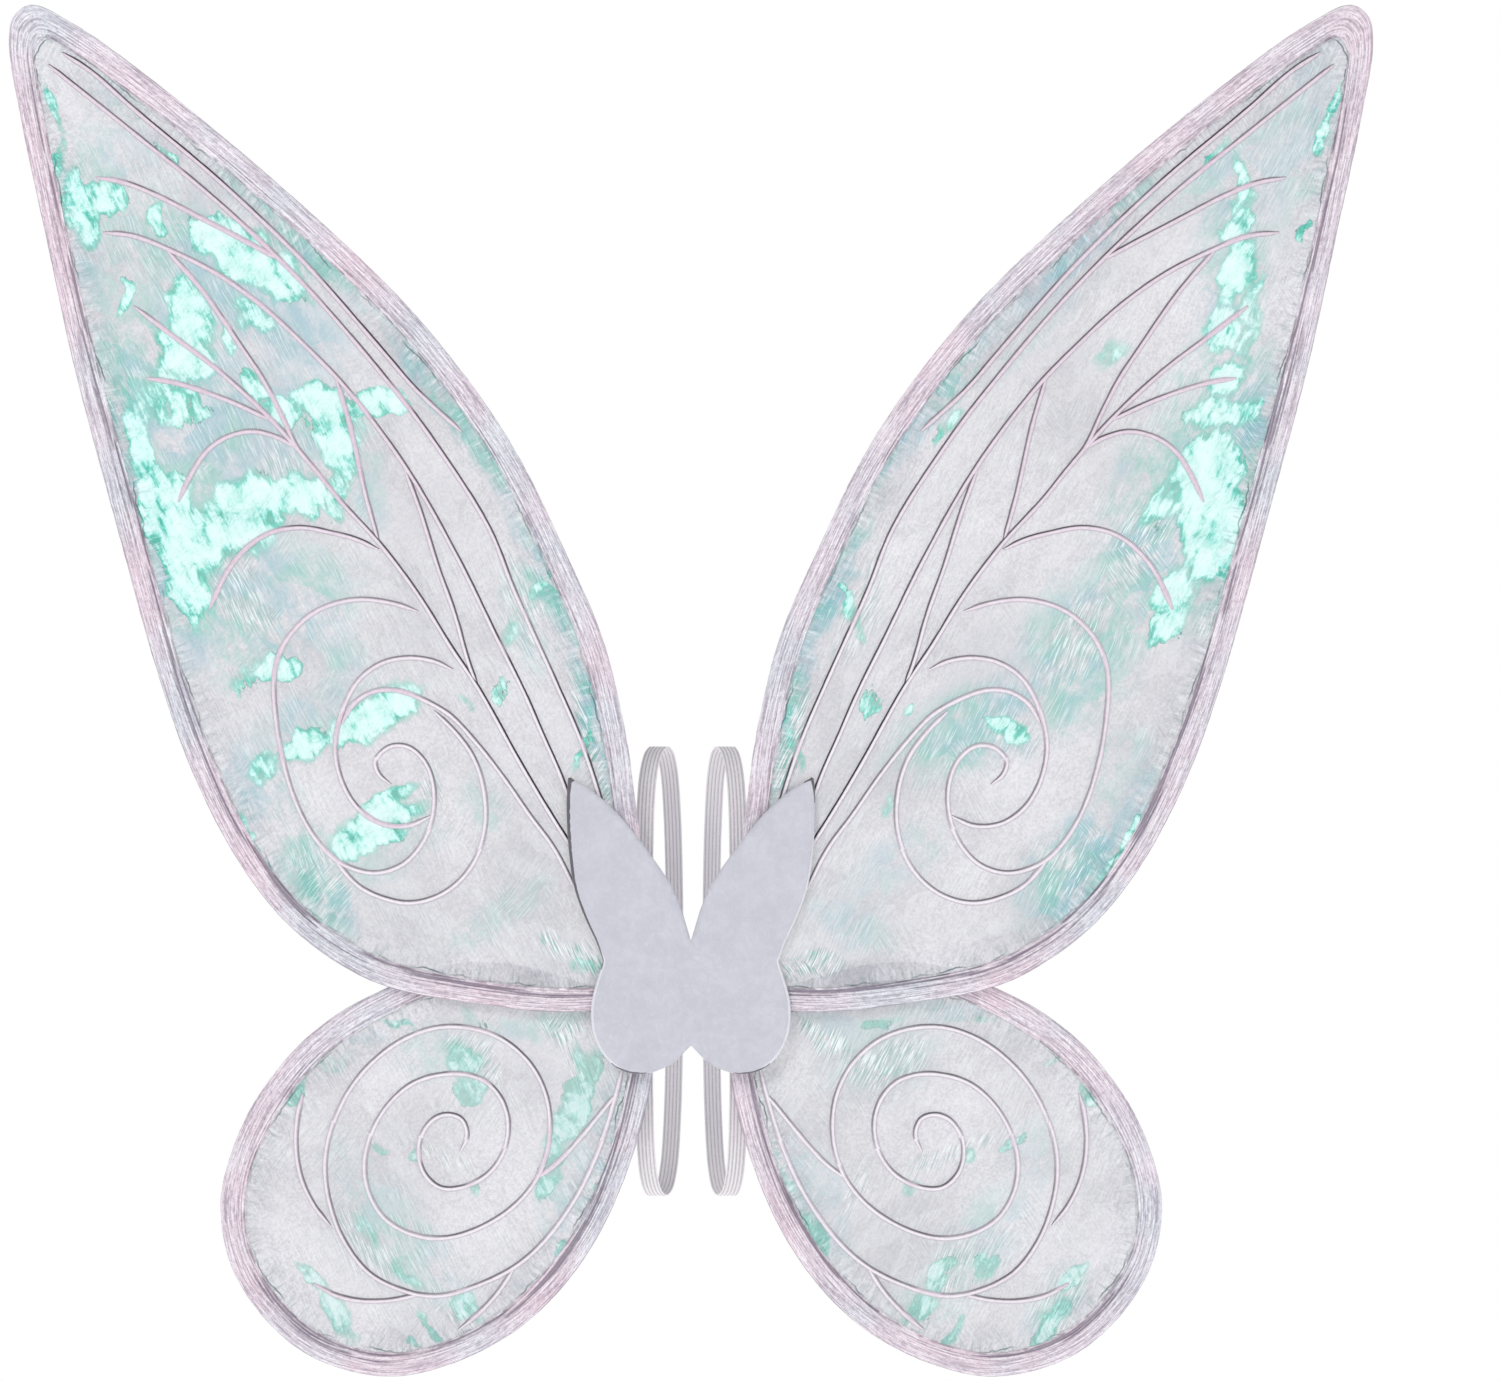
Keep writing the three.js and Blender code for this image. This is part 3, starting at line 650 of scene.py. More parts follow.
    def bump(self, height, distance, strength):
        inputs = {"Height": height, "Distance": distance, "Strength": strength}
        return self.node("ShaderNodeBump", inputs).outputs[0]

    def finish(self, colour, normal, **settings):
        """Ends the tree in a Principled shader. Settings are its socket names, _ for a space."""
        inputs = {"Base Color": colour, "Normal": normal}
        inputs.update({key.replace("_", " "): value for key, value in settings.items()})
        surface = self.node("ShaderNodeBsdfPrincipled", inputs).outputs[0]
        self.node("ShaderNodeOutputMaterial", {0: surface})
        return self.owner


def film_base(s, here, fields, haze, strokes, strength):
    """The film without its shine: pale lavender grey with teal haze, and fine hatching as its stretch lines,
    in painted shade and painted highlight.

    Returns its colour and the hatching's height.
    """
    sign, swayed, long_cells, flow, soft = fields
    cloud = s.noise(here, 15.0, 3.0)
    base = s.ramp(cloud, [(0.34, rgb(194, 189, 198)), (0.5, rgb(211, 205, 212)), (0.66, rgb(224, 218, 225))])
    grain = s.noise(here, 620.0, 2.0)
    base = s.mix(s.step(grain, 0.38, 0.60, 0.34, 0.0), base, rgb(158, 158, 166))
    sheet = s.step(s.add((long_cells, 0.6), (flow, 0.6), shift=-0.1), 0.42, 0.5)
    base = s.mix(s.times(sheet, 0.22), base, rgb(232, 230, 237))
    teal = s.mix(s.step(s.noise(here, 27.0, 2.0), 0.4, 0.6), rgb(104, 182, 174), rgb(122, 174, 190))
    patch = s.step(s.add((long_cells, 0.18), (soft, 0.6), (flow, 0.6), shift=-0.185), 0.28, 0.66)
    hazy = s.times(s.times(haze, 1.25, clamp=True), patch, clamp=True)
    base = s.mix(s.times(hazy, 0.98 * strength), base, teal)

    one, two = (s.noise(s.turned(swayed, (1050, 1, 75), degrees * sign), 1.0, 2.0, 0.5)
                for degrees in (-26, 34))
    choice = s.step(s.noise(here, 17.0, 2.0), 0.58, 0.60)
    hatching = s.add(s.times(two, choice), s.times(one, s.math("SUBTRACT", 1.0, choice)))
    gate = s.step(s.noise(here, 29.0, 3.0), 0.40, 0.56)
    keen = s.math("MAXIMUM", s.times(gate, s.add((hazy, 0.26), shift=0.20)), strokes)
    deep = s.mix(s.math("MAXIMUM", hazy, strokes), rgb(150, 146, 160), rgb(92, 168, 156))
    # painted shade and painted highlight along the fine hatched lines, from the same waves as their bumps
    base = s.mix(s.times(s.step(hatching, 0.52, 0.60), keen, clamp=True), base, deep)
    base = s.mix(s.times(s.step(hatching, 0.47, 0.38), keen, clamp=True), base, rgb(238, 248, 248))
    return base, hatching


def film_gathers(s, edge, colour):
    """Beside the binding: wrinkles square to the edge in painted highlight and painted shade, and a dark wavy
    seam line.

    Returns the colour, the wrinkles' height and the seam.
    """
    away, along = edge[0], edge[1]
    gather = s.noise(s.vector(s.times(along, 420.0), s.times(away, 70.0), 0.0), 1.0, 3.0, 0.6)
    near = s.step(away, 0.002, 0.014, 1.0, 0.0)
    pale = s.times(s.step(gather, 0.54, 0.64), near)
    dark = s.times(s.step(gather, 0.46, 0.35), near)
    # painted highlight on the wrinkles' ridges and painted shade in their hollows, from the noise that raises
    # them
    colour = s.mix(s.times(pale, 0.45), colour, rgb(236, 238, 244))
    colour = s.mix(s.times(dark, 0.4), colour, rgb(122, 146, 156))
    wander = s.noise(s.vector(s.times(along, 60.0), 0.0, 3.0), 1.0, 3.0)
    seam = s.math("SUBTRACT", away, s.times(s.math("SUBTRACT", wander, 0.35), 0.009))
    seam = s.step(s.math("ABSOLUTE", seam), 0.0002, 0.0007, 1.0, 0.0)
    seam_on = s.step(s.noise(s.vector(s.times(along, 26.0), 0.0, 9.0), 1.0, 2.0), 0.45, 0.6)
    seam = s.times(seam, seam_on)
    return s.mix(s.times(seam, 0.8), colour, rgb(64, 84, 90)), s.times(gather, near), seam


def film_material(name, shift, sign, strength):
    """Crinkled see-through film, with mint shine, a painted reflection, where the blots say, drawn out in
    streaks.

    A strength of 1 gives the full shine and haze, and less lets the grey film show through them.
    """
    s = Shader(name)
    shine, haze, strokes = (s.value_of(key) for key in ("shine", "haze", "strokes"))
    edge = s.parts_of("edge")  # metres from the binding, metres along it
    here = s.place(shift=shift)
    bent = s.warped(here, 60.0, 0.011)
    bent = s.warped(bent, 260.0, 0.0022)
    swayed = s.warped(here, 14.0, 0.012)

    # streaks along the film's stretch, and long angular shards between them
    long_cells = s.cells(bent, (30, 1, 80), 38 * sign)
    small_cells = s.cells(bent, (92, 1, 210), -32 * sign)
    flow = s.noise(s.turned(bent, (190, 1, 42), -26 * sign), 1.0, 4.0, 0.62)
    wisps = s.noise(s.turned(swayed, (430, 1, 48), -26 * sign), 1.0, 3.0, 0.6)
    soft = s.noise(bent, 70.0, 3.0, 0.6)
    level = s.add(shine, (long_cells, 0.16), (small_cells, 0.10), (flow, 0.95), (wisps, 0.55), (soft, 0.35),
                  shift=-1.055)
    base, hatching = film_base(s, here, (sign, swayed, long_cells, flow, soft), haze, strokes, strength)

    # the shine, a painted reflection: teal streaks at its torn edge, mint, and nearly white mint in the middle
    bright = s.add((s.math("MINIMUM", level, 1.0), 0.75), (wisps, 0.42), (soft, 1.5), (flow, 0.7),
                   shift=-1.42 - 0.4 * (1 - strength))
    mint = s.ramp(bright, [
        (0.22, rgb(84, 180, 162)), (0.33, rgb(110, 204, 190)), (0.42, rgb(156, 226, 216)),
        (0.51, rgb(196, 241, 235)), (0.64, rgb(212, 246, 243)), (0.85, rgb(226, 249, 248)),
    ])
    mint = s.mix(s.step(level, 0.48, 0.80, 0.5, 0.0), mint, rgb(112, 200, 184))
    crease = s.noise(s.turned(bent, (80, 1, 420), 52), 1.0, 3.0, 0.6)
    crease = s.step(s.math("ABSOLUTE", s.math("SUBTRACT", crease, 0.5)), 0.0, 0.03, 1.0, 0.0)
    mint = s.mix(s.times(crease, s.step(bright, 0.75, 0.45, 0.0, 0.3)), mint, rgb(98, 190, 172))
    softness = s.step(s.noise(here, 33.0, 2.0), 0.42, 0.58, 0.07, 0.30)
    covered = s.math("DIVIDE", s.math("SUBTRACT", level, s.math("SUBTRACT", 0.52, softness)),
                     s.times(softness, 2.0), clamp=True)
    covered = s.times(covered, strength)
    colour = s.mix(covered, base, mint)
    outline = s.step(s.math("ABSOLUTE", s.math("SUBTRACT", level, 0.51)), 0.004, 0.026, 1.0, 0.0)
    outline = s.times(s.times(outline, s.step(softness, 0.11, 0.075)), s.step(shine, 0.05, 0.3))
    colour = s.mix(s.times(outline, 0.8), colour, rgb(44, 108, 102))

    colour, wrinkles, seam = film_gathers(s, edge, colour)
    height = s.add((flow, 1.2), (crease, -0.3), (hatching, 0.5), (wrinkles, 1.0), (long_cells, 0.2))
    alpha = s.add((covered, 0.16), s.step(edge[0], 0.010, 0.020, 0.14, 0.0), shift=0.74)
    alpha = s.math("MAXIMUM", alpha, s.times(s.math("MAXIMUM", seam, outline), 0.96))
    return s.finish(colour, s.bump(height, 0.0011, 0.5), Roughness=0.34, Alpha=alpha, Specular_IOR_Level=0.5,
                    Thin_Film_Thickness=380.0, Thin_Film_IOR=1.38)


def binding_material():
    """Thin gathered knit: ridges along the band, hues from pink to blue lilac, fine crinkles across.

    Its crinkles, lengthwise grooves and rolled trailing edge carry painted highlight and painted shade.
    """
    s = Shader("gathered_knit")
    along, across, groove = s.parts_of("strip")
    here = s.place()
    hue = s.noise(here, 13.0, 3.0)
    light = s.ramp(hue, [(0.38, rgb(232, 211, 222)), (0.52, rgb(226, 217, 226)), (0.64, rgb(214, 218, 226))])
    streak = s.noise(s.vector(s.times(along, 34.0), s.times(across, 1300.0), 0.0), 1.0, 3.0, 0.6)
    colour = s.mix(s.step(streak, 0.38, 0.54, 0.68, 0.0), light, rgb(150, 138, 152))
    colour = s.mix(s.step(streak, 0.54, 0.62, 0.0, 0.75), colour, rgb(248, 244, 249))
    knit = s.vector(s.times(along, 1300.0), s.times(across, 900.0), 0.0)
    knit_height = s.noise(knit, 1.0, 2.0, 0.5)
    colour = s.mix(s.step(knit_height, 0.35, 0.6, 0.2, 0.0), colour, rgb(130, 118, 136))
    slant = s.add((along, 260.0), (across, 150.0))
    crinkle = s.noise(s.vector(slant, s.times(across, 620.0), 0.0), 1.0, 3.0, 0.6)
    # painted highlight on the crinkles' ridges and painted shade in their hollows, from the noise that makes
    # their bumps
    colour = s.mix(s.step(crinkle, 0.54, 0.64, 0.0, 0.35), colour, rgb(250, 247, 251))
    colour = s.mix(s.step(crinkle, 0.46, 0.36, 0.0, 0.35), colour, rgb(140, 128, 144))
    # painted shade in the binding's lengthwise grooves, broken up by noise
    groove_shade = s.add(groove, (s.noise(here, 300.0, 2.0), 0.5), shift=-0.25)
    colour = s.mix(s.step(groove_shade, 0.2, 0.75, 0.0, 0.75), colour, rgb(112, 100, 118))
    hem_on = s.step(s.noise(s.vector(s.times(along, 45.0), 0.0, 5.0), 1.0, 3.0), 0.47, 0.56)
    hem = s.times(s.step(across, 0.0014, 0.0006), hem_on)
    colour = s.mix(s.times(hem, 0.5), colour, rgb(84, 76, 88))
    # painted shade along the rolled outer edge on the trailing side, where the dark attribute says
    colour = s.mix(s.times(s.value_of("dark"), 0.6), colour, rgb(70, 58, 70))
    height = s.add((knit_height, 0.35), crinkle)
    return s.finish(colour, s.bump(height, 0.0005, 0.6), Roughness=0.82, Sheen_Weight=0.25, Sheen_Roughness=0.4)


def vein_material():
    """A bonded cord: pink body, painted shade as a dark line along its upper side and a painted highlight on
    its lower half.
    """
    s = Shader("bonded_cord")
    across, shade, pink = s.parts_of("cord")
    here = s.place()
    grain = s.noise(here, 420.0, 3.0)
    body = s.mix(pink, rgb(226, 221, 228), rgb(218, 200, 213))
    body = s.mix(s.step(grain, 0.4, 0.65, 0.0, 0.3), body, rgb(186, 168, 182))
    # painted highlight: a pale band on the cord's lower half, weaker where the cord is pink
    painted_highlight = s.times(s.step(across, -0.1, 0.15), s.step(across, 0.6, 0.35))
    body = s.mix(s.times(painted_highlight, s.math("SUBTRACT", 0.85, pink), clamp=True), body, rgb(246, 242, 246))
    # painted shade: a grey line along the cord's lower edge
    lower_edge_shade = s.times(s.step(across, 0.6, 0.85), s.add((shade, 0.35), shift=0.12), clamp=True)
    body = s.mix(lower_edge_shade, body, rgb(148, 134, 148))
    # painted shade: the dark line along the cord's upper side, as strong as the shade attribute says
    line = s.times(s.step(across, -0.22, -0.46), s.times(shade, 1.1), clamp=True)
    colour = s.mix(line, body, rgb(44, 40, 48))
    return s.finish(colour, s.bump(grain, 0.0003, 0.4), Roughness=0.5, Specular_IOR_Level=0.4)


def felt_material(name, pale, edged=False):
    s = Shader(name)
    here = s.place()
    tuft = s.noise(here, 230.0, 4.0, 0.65, 0.6)
    mottle = s.noise(here, 55.0, 3.0)
    strands = s.noise(s.place(scale=(900, 900, 300), turn=(0, 0.5, 0)), 1.0, 3.0, 0.7, 1.2)
    lift = 10 if pale else 0
    colour = s.mix(s.step(mottle, 0.35, 0.65), rgb(197 + lift, 197 + lift, 206 + lift),
                   rgb(202 + lift, 202 + lift, 211 + lift))
    colour = s.mix(s.step(tuft, 0.4, 0.62, 0.22, 0.0), colour, rgb(178 + lift, 178 + lift, 190 + lift))
    colour = s.mix(s.step(strands, 0.56, 0.7, 0.0, 0.28), colour, rgb(222, 222, 230))
    if edged:
        # the rim lines: a pale line, and a painted shadow line where the edge stands off what lies behind it
        away, shadow_width, pale_width = s.parts_of("rim")
        pale_line = s.times(s.math("LESS_THAN", away, pale_width), 0.5)
        colour = s.mix(pale_line, colour, rgb(246, 246, 250))
        # painted shadow: the dark line along the edge
        colour = s.mix(s.times(s.math("LESS_THAN", away, shadow_width), 0.85), colour, rgb(70, 66, 72))
    height = s.add(tuft, (strands, 0.8))
    return s.finish(colour, s.bump(height, 0.0006, 0.5), Roughness=0.95, Sheen_Weight=0.35, Sheen_Roughness=0.5,
                    Specular_IOR_Level=0.2)


def elastic_material():
    s = Shader("ribbed_elastic")
    along, _, rib = s.parts_of("strip")
    inner = s.value_of("inner_face")
    here = s.place()
    weft = s.math("SINE", s.times(along, 2 * math.pi / 0.0008))
    fuzz = s.noise(here, 500.0, 3.0)
    tone = s.mix(s.step(s.noise(here, 12.0, 2.0), 0.4, 0.6), rgb(246, 241, 244), rgb(242, 237, 240))
    # painted light: the loop's inner face gets a darker tone than its outer face, to even out how the light
    # falls on the loop's two legs
    tone = s.mix(inner, tone, rgb(226, 222, 225))
    groove = s.mix(inner, rgb(184, 174, 180), rgb(172, 164, 169))
    # painted shade in the grooves between the ribs, and a painted highlight on the rib tops
    colour = s.mix(s.step(rib, -1.0, -0.2, 0.7, 0.0), tone, groove)
    colour = s.mix(s.step(rib, 0.5, 1.0, 0.0, 0.8), colour, rgb(252, 249, 251))
    colour = s.mix(s.step(weft, -0.2, 0.9, 0.12, 0.0), colour, rgb(160, 152, 158))
    colour = s.mix(s.step(fuzz, 0.5, 0.68, 0.0, 0.3), colour, rgb(236, 232, 236))
    height = s.add((weft, 0.3), fuzz)
    return s.finish(colour, s.bump(height, 0.0004, 0.5), Roughness=0.85, Sheen_Weight=0.15)


def tape_material(name, colour_a, colour_b, pitch):
    """Woven tape: a small over-and-under weave."""
    s = Shader(name)
    here = s.place()
    x, _, z = s.node("ShaderNodeSeparateXYZ", {0: here}).outputs
    warp = s.math("SINE", s.times(s.math("ADD", x, z), 2 * math.pi / pitch))
    weft = s.math("SINE", s.times(s.math("SUBTRACT", x, z), 2 * math.pi / pitch))
    weave = s.times(warp, weft)
    fuzz = s.noise(here, 600.0, 3.0)
    colour = s.mix(s.step(weave, -0.6, 0.6), colour_a, colour_b)
    colour = s.mix(s.step(fuzz, 0.45, 0.7, 0.0, 0.3), colour, rgb(244, 243, 247))
    height = s.math("ADD", weave, fuzz)
    return s.finish(colour, s.bump(height, 0.0003, 0.5), Roughness=0.88)


def thread_material():
    s = Shader("sewing_thread")
    ply = s.noise(s.place(), 900.0, 2.0)
    colour = s.mix(s.step(ply, 0.4, 0.6), rgb(226, 224, 234), rgb(243, 242, 248))
    return s.finish(colour, s.bump(ply, 0.0001, 0.5), Roughness=0.6, Sheen_Weight=0.2)


def steel_material():
    s = Shader("drawn_wire")
    drawn = s.noise(s.place(scale=(160, 160, 160)), 4.0, 4.0, 0.7)
    colour = s.mix(drawn, rgb(150, 150, 156), rgb(196, 196, 202))
    rough = s.step(drawn, 0.3, 0.7, 0.28, 0.42)
    return s.finish(colour, s.bump(drawn, 0.0001, 0.3), Roughness=rough, Metallic=0.95)


def plastic_material():
    s = Shader("hook_plastic")
    grain = s.noise(s.place(), 300.0, 3.0)
    colour = s.mix(grain, rgb(222, 222, 228), rgb(240, 240, 245))
    return s.finish(colour, s.bump(grain, 0.0002, 0.3), Roughness=0.45)


BINDING = binding_material()
VEIN = vein_material()
FELT = felt_material("brushed_felt", pale=False)
SHADOW_EDGED_FELT = felt_material("felt_with_painted_edge_shadow", pale=False, edged=True)
PALE_FELT = felt_material("pale_felt", pale=True)
ELASTIC = elastic_material()
TAPE = tape_material("woven_tape", rgb(206, 206, 214), rgb(229, 229, 235), 0.0011)
LOOP = tape_material("loop_ground", rgb(214, 214, 221), rgb(232, 232, 238), 0.0008)
THREAD = thread_material()
STEEL = steel_material()
PLASTIC = plastic_material()


def dress(piece, body, replaced=()):
    """The piece rides on a body and stands for the CAD nodes it replaces."""
    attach(piece, body)
    if replaced:
        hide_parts(*replaced)
    return piece


# ---------- wings ----------
WINGS = {
    "upper": {
        "y": UPPER_Y, "edge": UPPER_EDGE, "film": UPPER_FILM, "roots": UPPER_ROOTS, "seed": 11,
        "shine_strength": 1.0,
        # each kind of cord: its lines, the strength of its painted shade line near the hub, and the share of
        # that left far out
        "veins": {"leading_rib": (LEADING_RIB, 1.0, 0.9), "front_rib": (FRONT_RIB, 1.0, 0.8),
                  "branch_ribs": (BRANCH_RIBS, 1.0, 0.75), "scroll": (UPPER_SCROLL, 0.7, 0.6)},
    },
    "lower": {
        "y": LOWER_Y, "edge": LOWER_EDGE, "film": LOWER_FILM, "roots": LOWER_ROOTS, "seed": 23,
        "shine_strength": 0.62,
        "veins": {"scroll": (LOWER_SCROLL, 0.75, 0.8), "arc": (LOWER_ARC, 0.7, 1.0)},
    },
}

# the film's long folds: their angle in degrees, spacing in metres and height
FOLDS = [(35, 0.034, 0.5), (-20, 0.021, 0.35), (70, 0.027, 0.4), (10, 0.013, 0.2), (125, 0.017, 0.25)]

# the binding's lengthwise grooves: their place, from 0 at the film to 1 at the outer edge, and their depth
GROOVES = [(0.07, 0.8), (0.17, 1.0), (0.27, 0.9), (0.39, 0.55), (0.52, 0.5), (0.66, 0.6), (0.8, 0.5)]


def shine_on(points, wing, key):
    """How strong the mint shine, a painted reflection, and its haze are at each point of a wing's film."""
    shine = blots(points, SHINE[key], wing["seed"])
    return shine, np.clip(blots(points, SHINE[key + "_haze"], wing["seed"] + 40), 0, 1)


def crinkle(points, wing, key):
    """How far the film stands off its plane, towards the wearer, in metres."""
    edge, along = nearest(points, smooth(wing["film"]))
    shine, _ = shine_on(points, wing, key)
    seed = wing["seed"] + (100 if key.startswith("left") else 0)
    p = points + np.stack([noise2(points, 0.03, seed), noise2(points, 0.03, seed + 1)], axis=1) * 0.012
    folds = np.zeros(len(points))
    for k, (angle, spacing, height) in enumerate(FOLDS):
        turn = math.radians(angle)
        phase = (p[:, 0] * math.cos(turn) + p[:, 1] * math.sin(turn)) / spacing + 0.37 * k
        gate = ramp(-0.3, 0.5, noise2(points, 0.045, seed + 10 + k))
        folds += height * gate * (4 * np.abs(phase - np.floor(phase) - 0.5) - 1)
    pleats = np.sin(2 * math.pi * along / 0.0062 + 2.2 * noise2(points, 0.012, seed + 3))
    pleats *= np.exp(-edge / 0.007) * 0.55 * ramp(0, 0.0015, edge)
    tuft = 0.12 * noise2(points, 0.0045, seed + 5)
    hub = ramp(0.075, 0.11, np.hypot(points[:, 0], points[:, 1] - 0.02))
    rim = ramp(0, 0.004, edge)
    return 0.001 * (folds * (0.55 + 0.5 * shine) * rim * (0.25 + 0.75 * hub) + pleats + tuft * rim)


def make_film(side, name, wing):
    key, sign = f"{side}_{name}", SIDES[side]
    outline = smooth(wing["film"])
    flat, triangles, _ = fill_outline(outline, FILM_PITCH, wing["seed"])
    edge, along = nearest(flat, outline)
    shine, haze = shine_on(flat, wing, key)
    strokes = np.clip(blots(flat, STROKES[key], wing["seed"] + 60), 0, 1)
    attributes = {"shine": shine, "haze": haze, "strokes": strokes,
                  "edge": np.column_stack([edge, along, np.zeros(len(flat))])}
    shift = (0.31 * wing["seed"] * sign, 0.0, 0.17 * sign)
    material = film_material(f"{key}_film", shift, sign, wing["shine_strength"])
    points = in_plane(flat, wing["y"] + crinkle(flat, wing, key))
    piece = mesh_object(f"{key}_crinkled_film", mirrored(points, sign),
                        triangles if sign > 0 else triangles[:, ::-1], attributes, material)
    dress(piece, f"{side}_wings", [f"{key}_film"])
    width, length = np.ptp(wing["film"], axis=0)
    area_of(outline)


def film_side(outer, film):
    """Where the binding's legs end: beside each point of its outer edge, 0.4 mm in from the film's edge."""
    _, at = nearest(outer, film)
    at = np.convolve(np.pad(np.maximum.accumulate(at), 4, mode="edge"), np.ones(9) / 9, mode="valid")
    along = arc(film)
    inner = np.stack([np.interp(at, along, film[:, k]) for k in (0, 1)], axis=1)
    inward = inner - outer
    return inner + 0.0004 * inward / np.linalg.norm(inward, axis=1)[:, None]


def make_binding(side, name, wing):
    """The gathered knit strip folded round the wire: an open U whose legs hold the film's edge."""
    sign, seed = SIDES[side], wing["seed"] + (3 if side == "left" else 5)
    outer = resample(smooth(wing["edge"]), BINDING_PITCH)
    inner = film_side(outer, smooth(wing["film"]))
    width = np.linalg.norm(inner - outer, axis=1)
    along = arc(outer)

    # the section, from the film (0) to the outer edge (1) and back, with fewer points on the way back
    front = np.concatenate([np.linspace(0, 0.78, 26), 0.78 + 0.22 * np.sin(np.linspace(0, math.pi / 2, 9))[1:]])
    back = front[::-1][1::2]
    share, along = np.meshgrid(np.concatenate([front, back]), along)
    facing = np.repeat([-1.0, 1.0], [len(front), len(back)])
    across = share * BINDING_WIDTH
    places = np.column_stack([along.ravel(), across.ravel()])

    def rough(stretch, size, offset):
        return noise2(places * stretch, size, seed + offset).reshape(share.shape)

    wander = rough([1, 1 / 3], 0.016, 0)
    trailing = ramp(0.46, 0.54, along / along[-1, 0])
    groove = np.zeros(share.shape)
    for k, (centre, depth) in enumerate(GROOVES):
        centre_here = centre + 0.045 * rough([1, 0], 0.05, 20 + k)
        depth_here = depth * (0.55 + 0.65 * trailing * (centre < 0.4))
        depth_here = depth_here * ramp(-0.5, 0.35, rough([1, 0], 0.035, 30 + k))
        groove = np.maximum(groove, depth_here * np.exp(-((share - centre_here) / 0.046) ** 2))
    fine = rough([1, 1 / 1.6], 0.0021, 2)
    from_outer = (1 - share) * width[:, None]
    rounding = np.sqrt(np.clip(1 - ((share - 0.78) / 0.22).clip(0, 1) ** 2, 0, 1))
    rise = 0.00045 + 0.0011 * ramp(0.0, 0.35, share)
    rise = rise + 0.00045 * np.exp(-((from_outer - WIRE_INSET) / 0.0022) ** 2)
    rise = (rise - 0.00042 * groove + 0.00016 * fine + 0.0002 * wander) * rounding
    spread = np.abs(0.00025 * rough([1, 1], 0.006, 4) * ramp(0.6, 1, share))
    place = inner[:, None, :] * (1 - share)[..., None] + outer[:, None, :] * share[..., None]
    place += right_of(outer)[:, None, :] * spread[..., None]

    # where the material paints shade: along the rolled outer edge, on the trailing side
    dark = ramp(0.955, 0.985, share) * trailing * (0.55 + 0.45 * ramp(-0.4, 0.4, wander))
    attributes = {"strip": np.column_stack([places, groove.ravel()]), "dark": dark.ravel()}
    piece = mesh_object(f"{side}_{name}_gathered_binding",
                        mirrored(in_plane(place, wing["y"] + facing * rise), sign),
                        grid_faces(*share.shape, flip=sign < 0), attributes, BINDING)
    dress(piece, f"{side}_wings", [f"{side}_{name}_binding_front", f"{side}_{name}_binding_rear"])


def wire_line(wing):
    """Where the wire runs inside the binding."""
    edge = smooth(wing["edge"])
    return edge + right_of(edge) * WIRE_INSET


def make_wire(side, name, wing):
    run = resample(np.vstack([wing["roots"][:1], wire_line(wing), wing["roots"][1:]]), WIRE_PITCH)
    line = mirrored(in_plane(run, wing["y"]), SIDES[side])
    piece = joined_tubes(f"{side}_{name}_spring_wire", [(line, np.full(len(run), WIRE_RADIUS))], 10, STEEL)
    dress(piece, f"{side}_wings", [f"{side}_{name}_wire"])


def make_veins(side, name, wing, kind, lines, shade_strength, far_share):
    """Raised cords bonded on the film's outer face; each follows the film's crinkles.

    The painted shade line along a cord has the given strength near the hub, and far_share of it far out.
    """
    key, sign = f"{side}_{name}", SIDES[side]
    angles = np.linspace(0, math.pi, 9)
    across = np.concatenate([-np.cos(angles), [0.5, -0.5]])
    height = np.concatenate([np.sin(angles) ** 0.8, [-0.12, -0.12]])
    towards_light = np.array([-0.35, 0.94])
    points, faces, cord = [], [], []
    count = 0
    for line in lines:
        run = resample(smooth(line), VEIN_PITCH)
        right = right_of(run)
        along = arc(run)
        taper = np.minimum(1, 0.35 + np.minimum(along, along[-1] - along) / 0.012)
        half = VEIN_HALF_WIDTH * taper * (1 + 0.08 * noise2(run, 0.007, wing["seed"]))
        place = run[:, None, :] + right[:, None, :] * (across * half[:, None])[..., None]
        film = wing["y"] + crinkle(run, wing, key)
        y = film[:, None] - 0.0001 - VEIN_HEIGHT * taper[:, None] * height
        rows, columns = y.shape
        points.append(in_plane(place, y))
        faces += swept_faces(rows, columns, sign < 0, count)
        count += rows * columns

        # painted shade: the dark line goes on the cord's upper side, the side towards the light, as in a groove
        # there; it fades in the shine and haze and far from the hub
        upward = right @ towards_light
        shine, haze = shine_on(run, wing, key)
        shine = np.clip(shine, 0, 1)
        glow = np.clip(shine + 0.8 * haze, 0, 1)
        hub = ramp(0.42, 0.16, np.hypot(run[:, 0], run[:, 1]))
        fade = far_share + (1 - far_share) * hub
        shade = shade_strength * np.abs(upward) ** 0.35 * (1 - 0.9 * glow) * fade
        pink = np.clip(0.35 + 0.6 * (1 - hub) + 0.5 * shine - 0.2 * shade_strength, 0, 1)
        facing = np.where(upward > 0, -1.0, 1.0)
        cord.append(np.column_stack([(across * facing[:, None]).ravel(), np.repeat(shade, columns),
                                     np.repeat(pink, columns)]))
    piece = mesh_object(f"{key}_{kind}_cord", mirrored(np.vstack(points), sign), faces,
                        {"cord": np.vstack(cord)}, VEIN)
    dress(piece, f"{side}_wings", [f"{key}_{kind}"])


def make_wings():
    for side in SIDES:
        for name, wing in WINGS.items():
            make_wire(side, name, wing)
            make_binding(side, name, wing)
            make_film(side, name, wing)
            for kind, (lines, strength, far_share) in wing["veins"].items():
                make_veins(side, name, wing, kind, lines, strength, far_share)


# ---------- the hub's front: a felt butterfly in three parts, bending at the two fold lines ----------
def on_fold(points):
    return np.abs(np.abs(points[:, 0]) - FOLD_X) < 2e-5


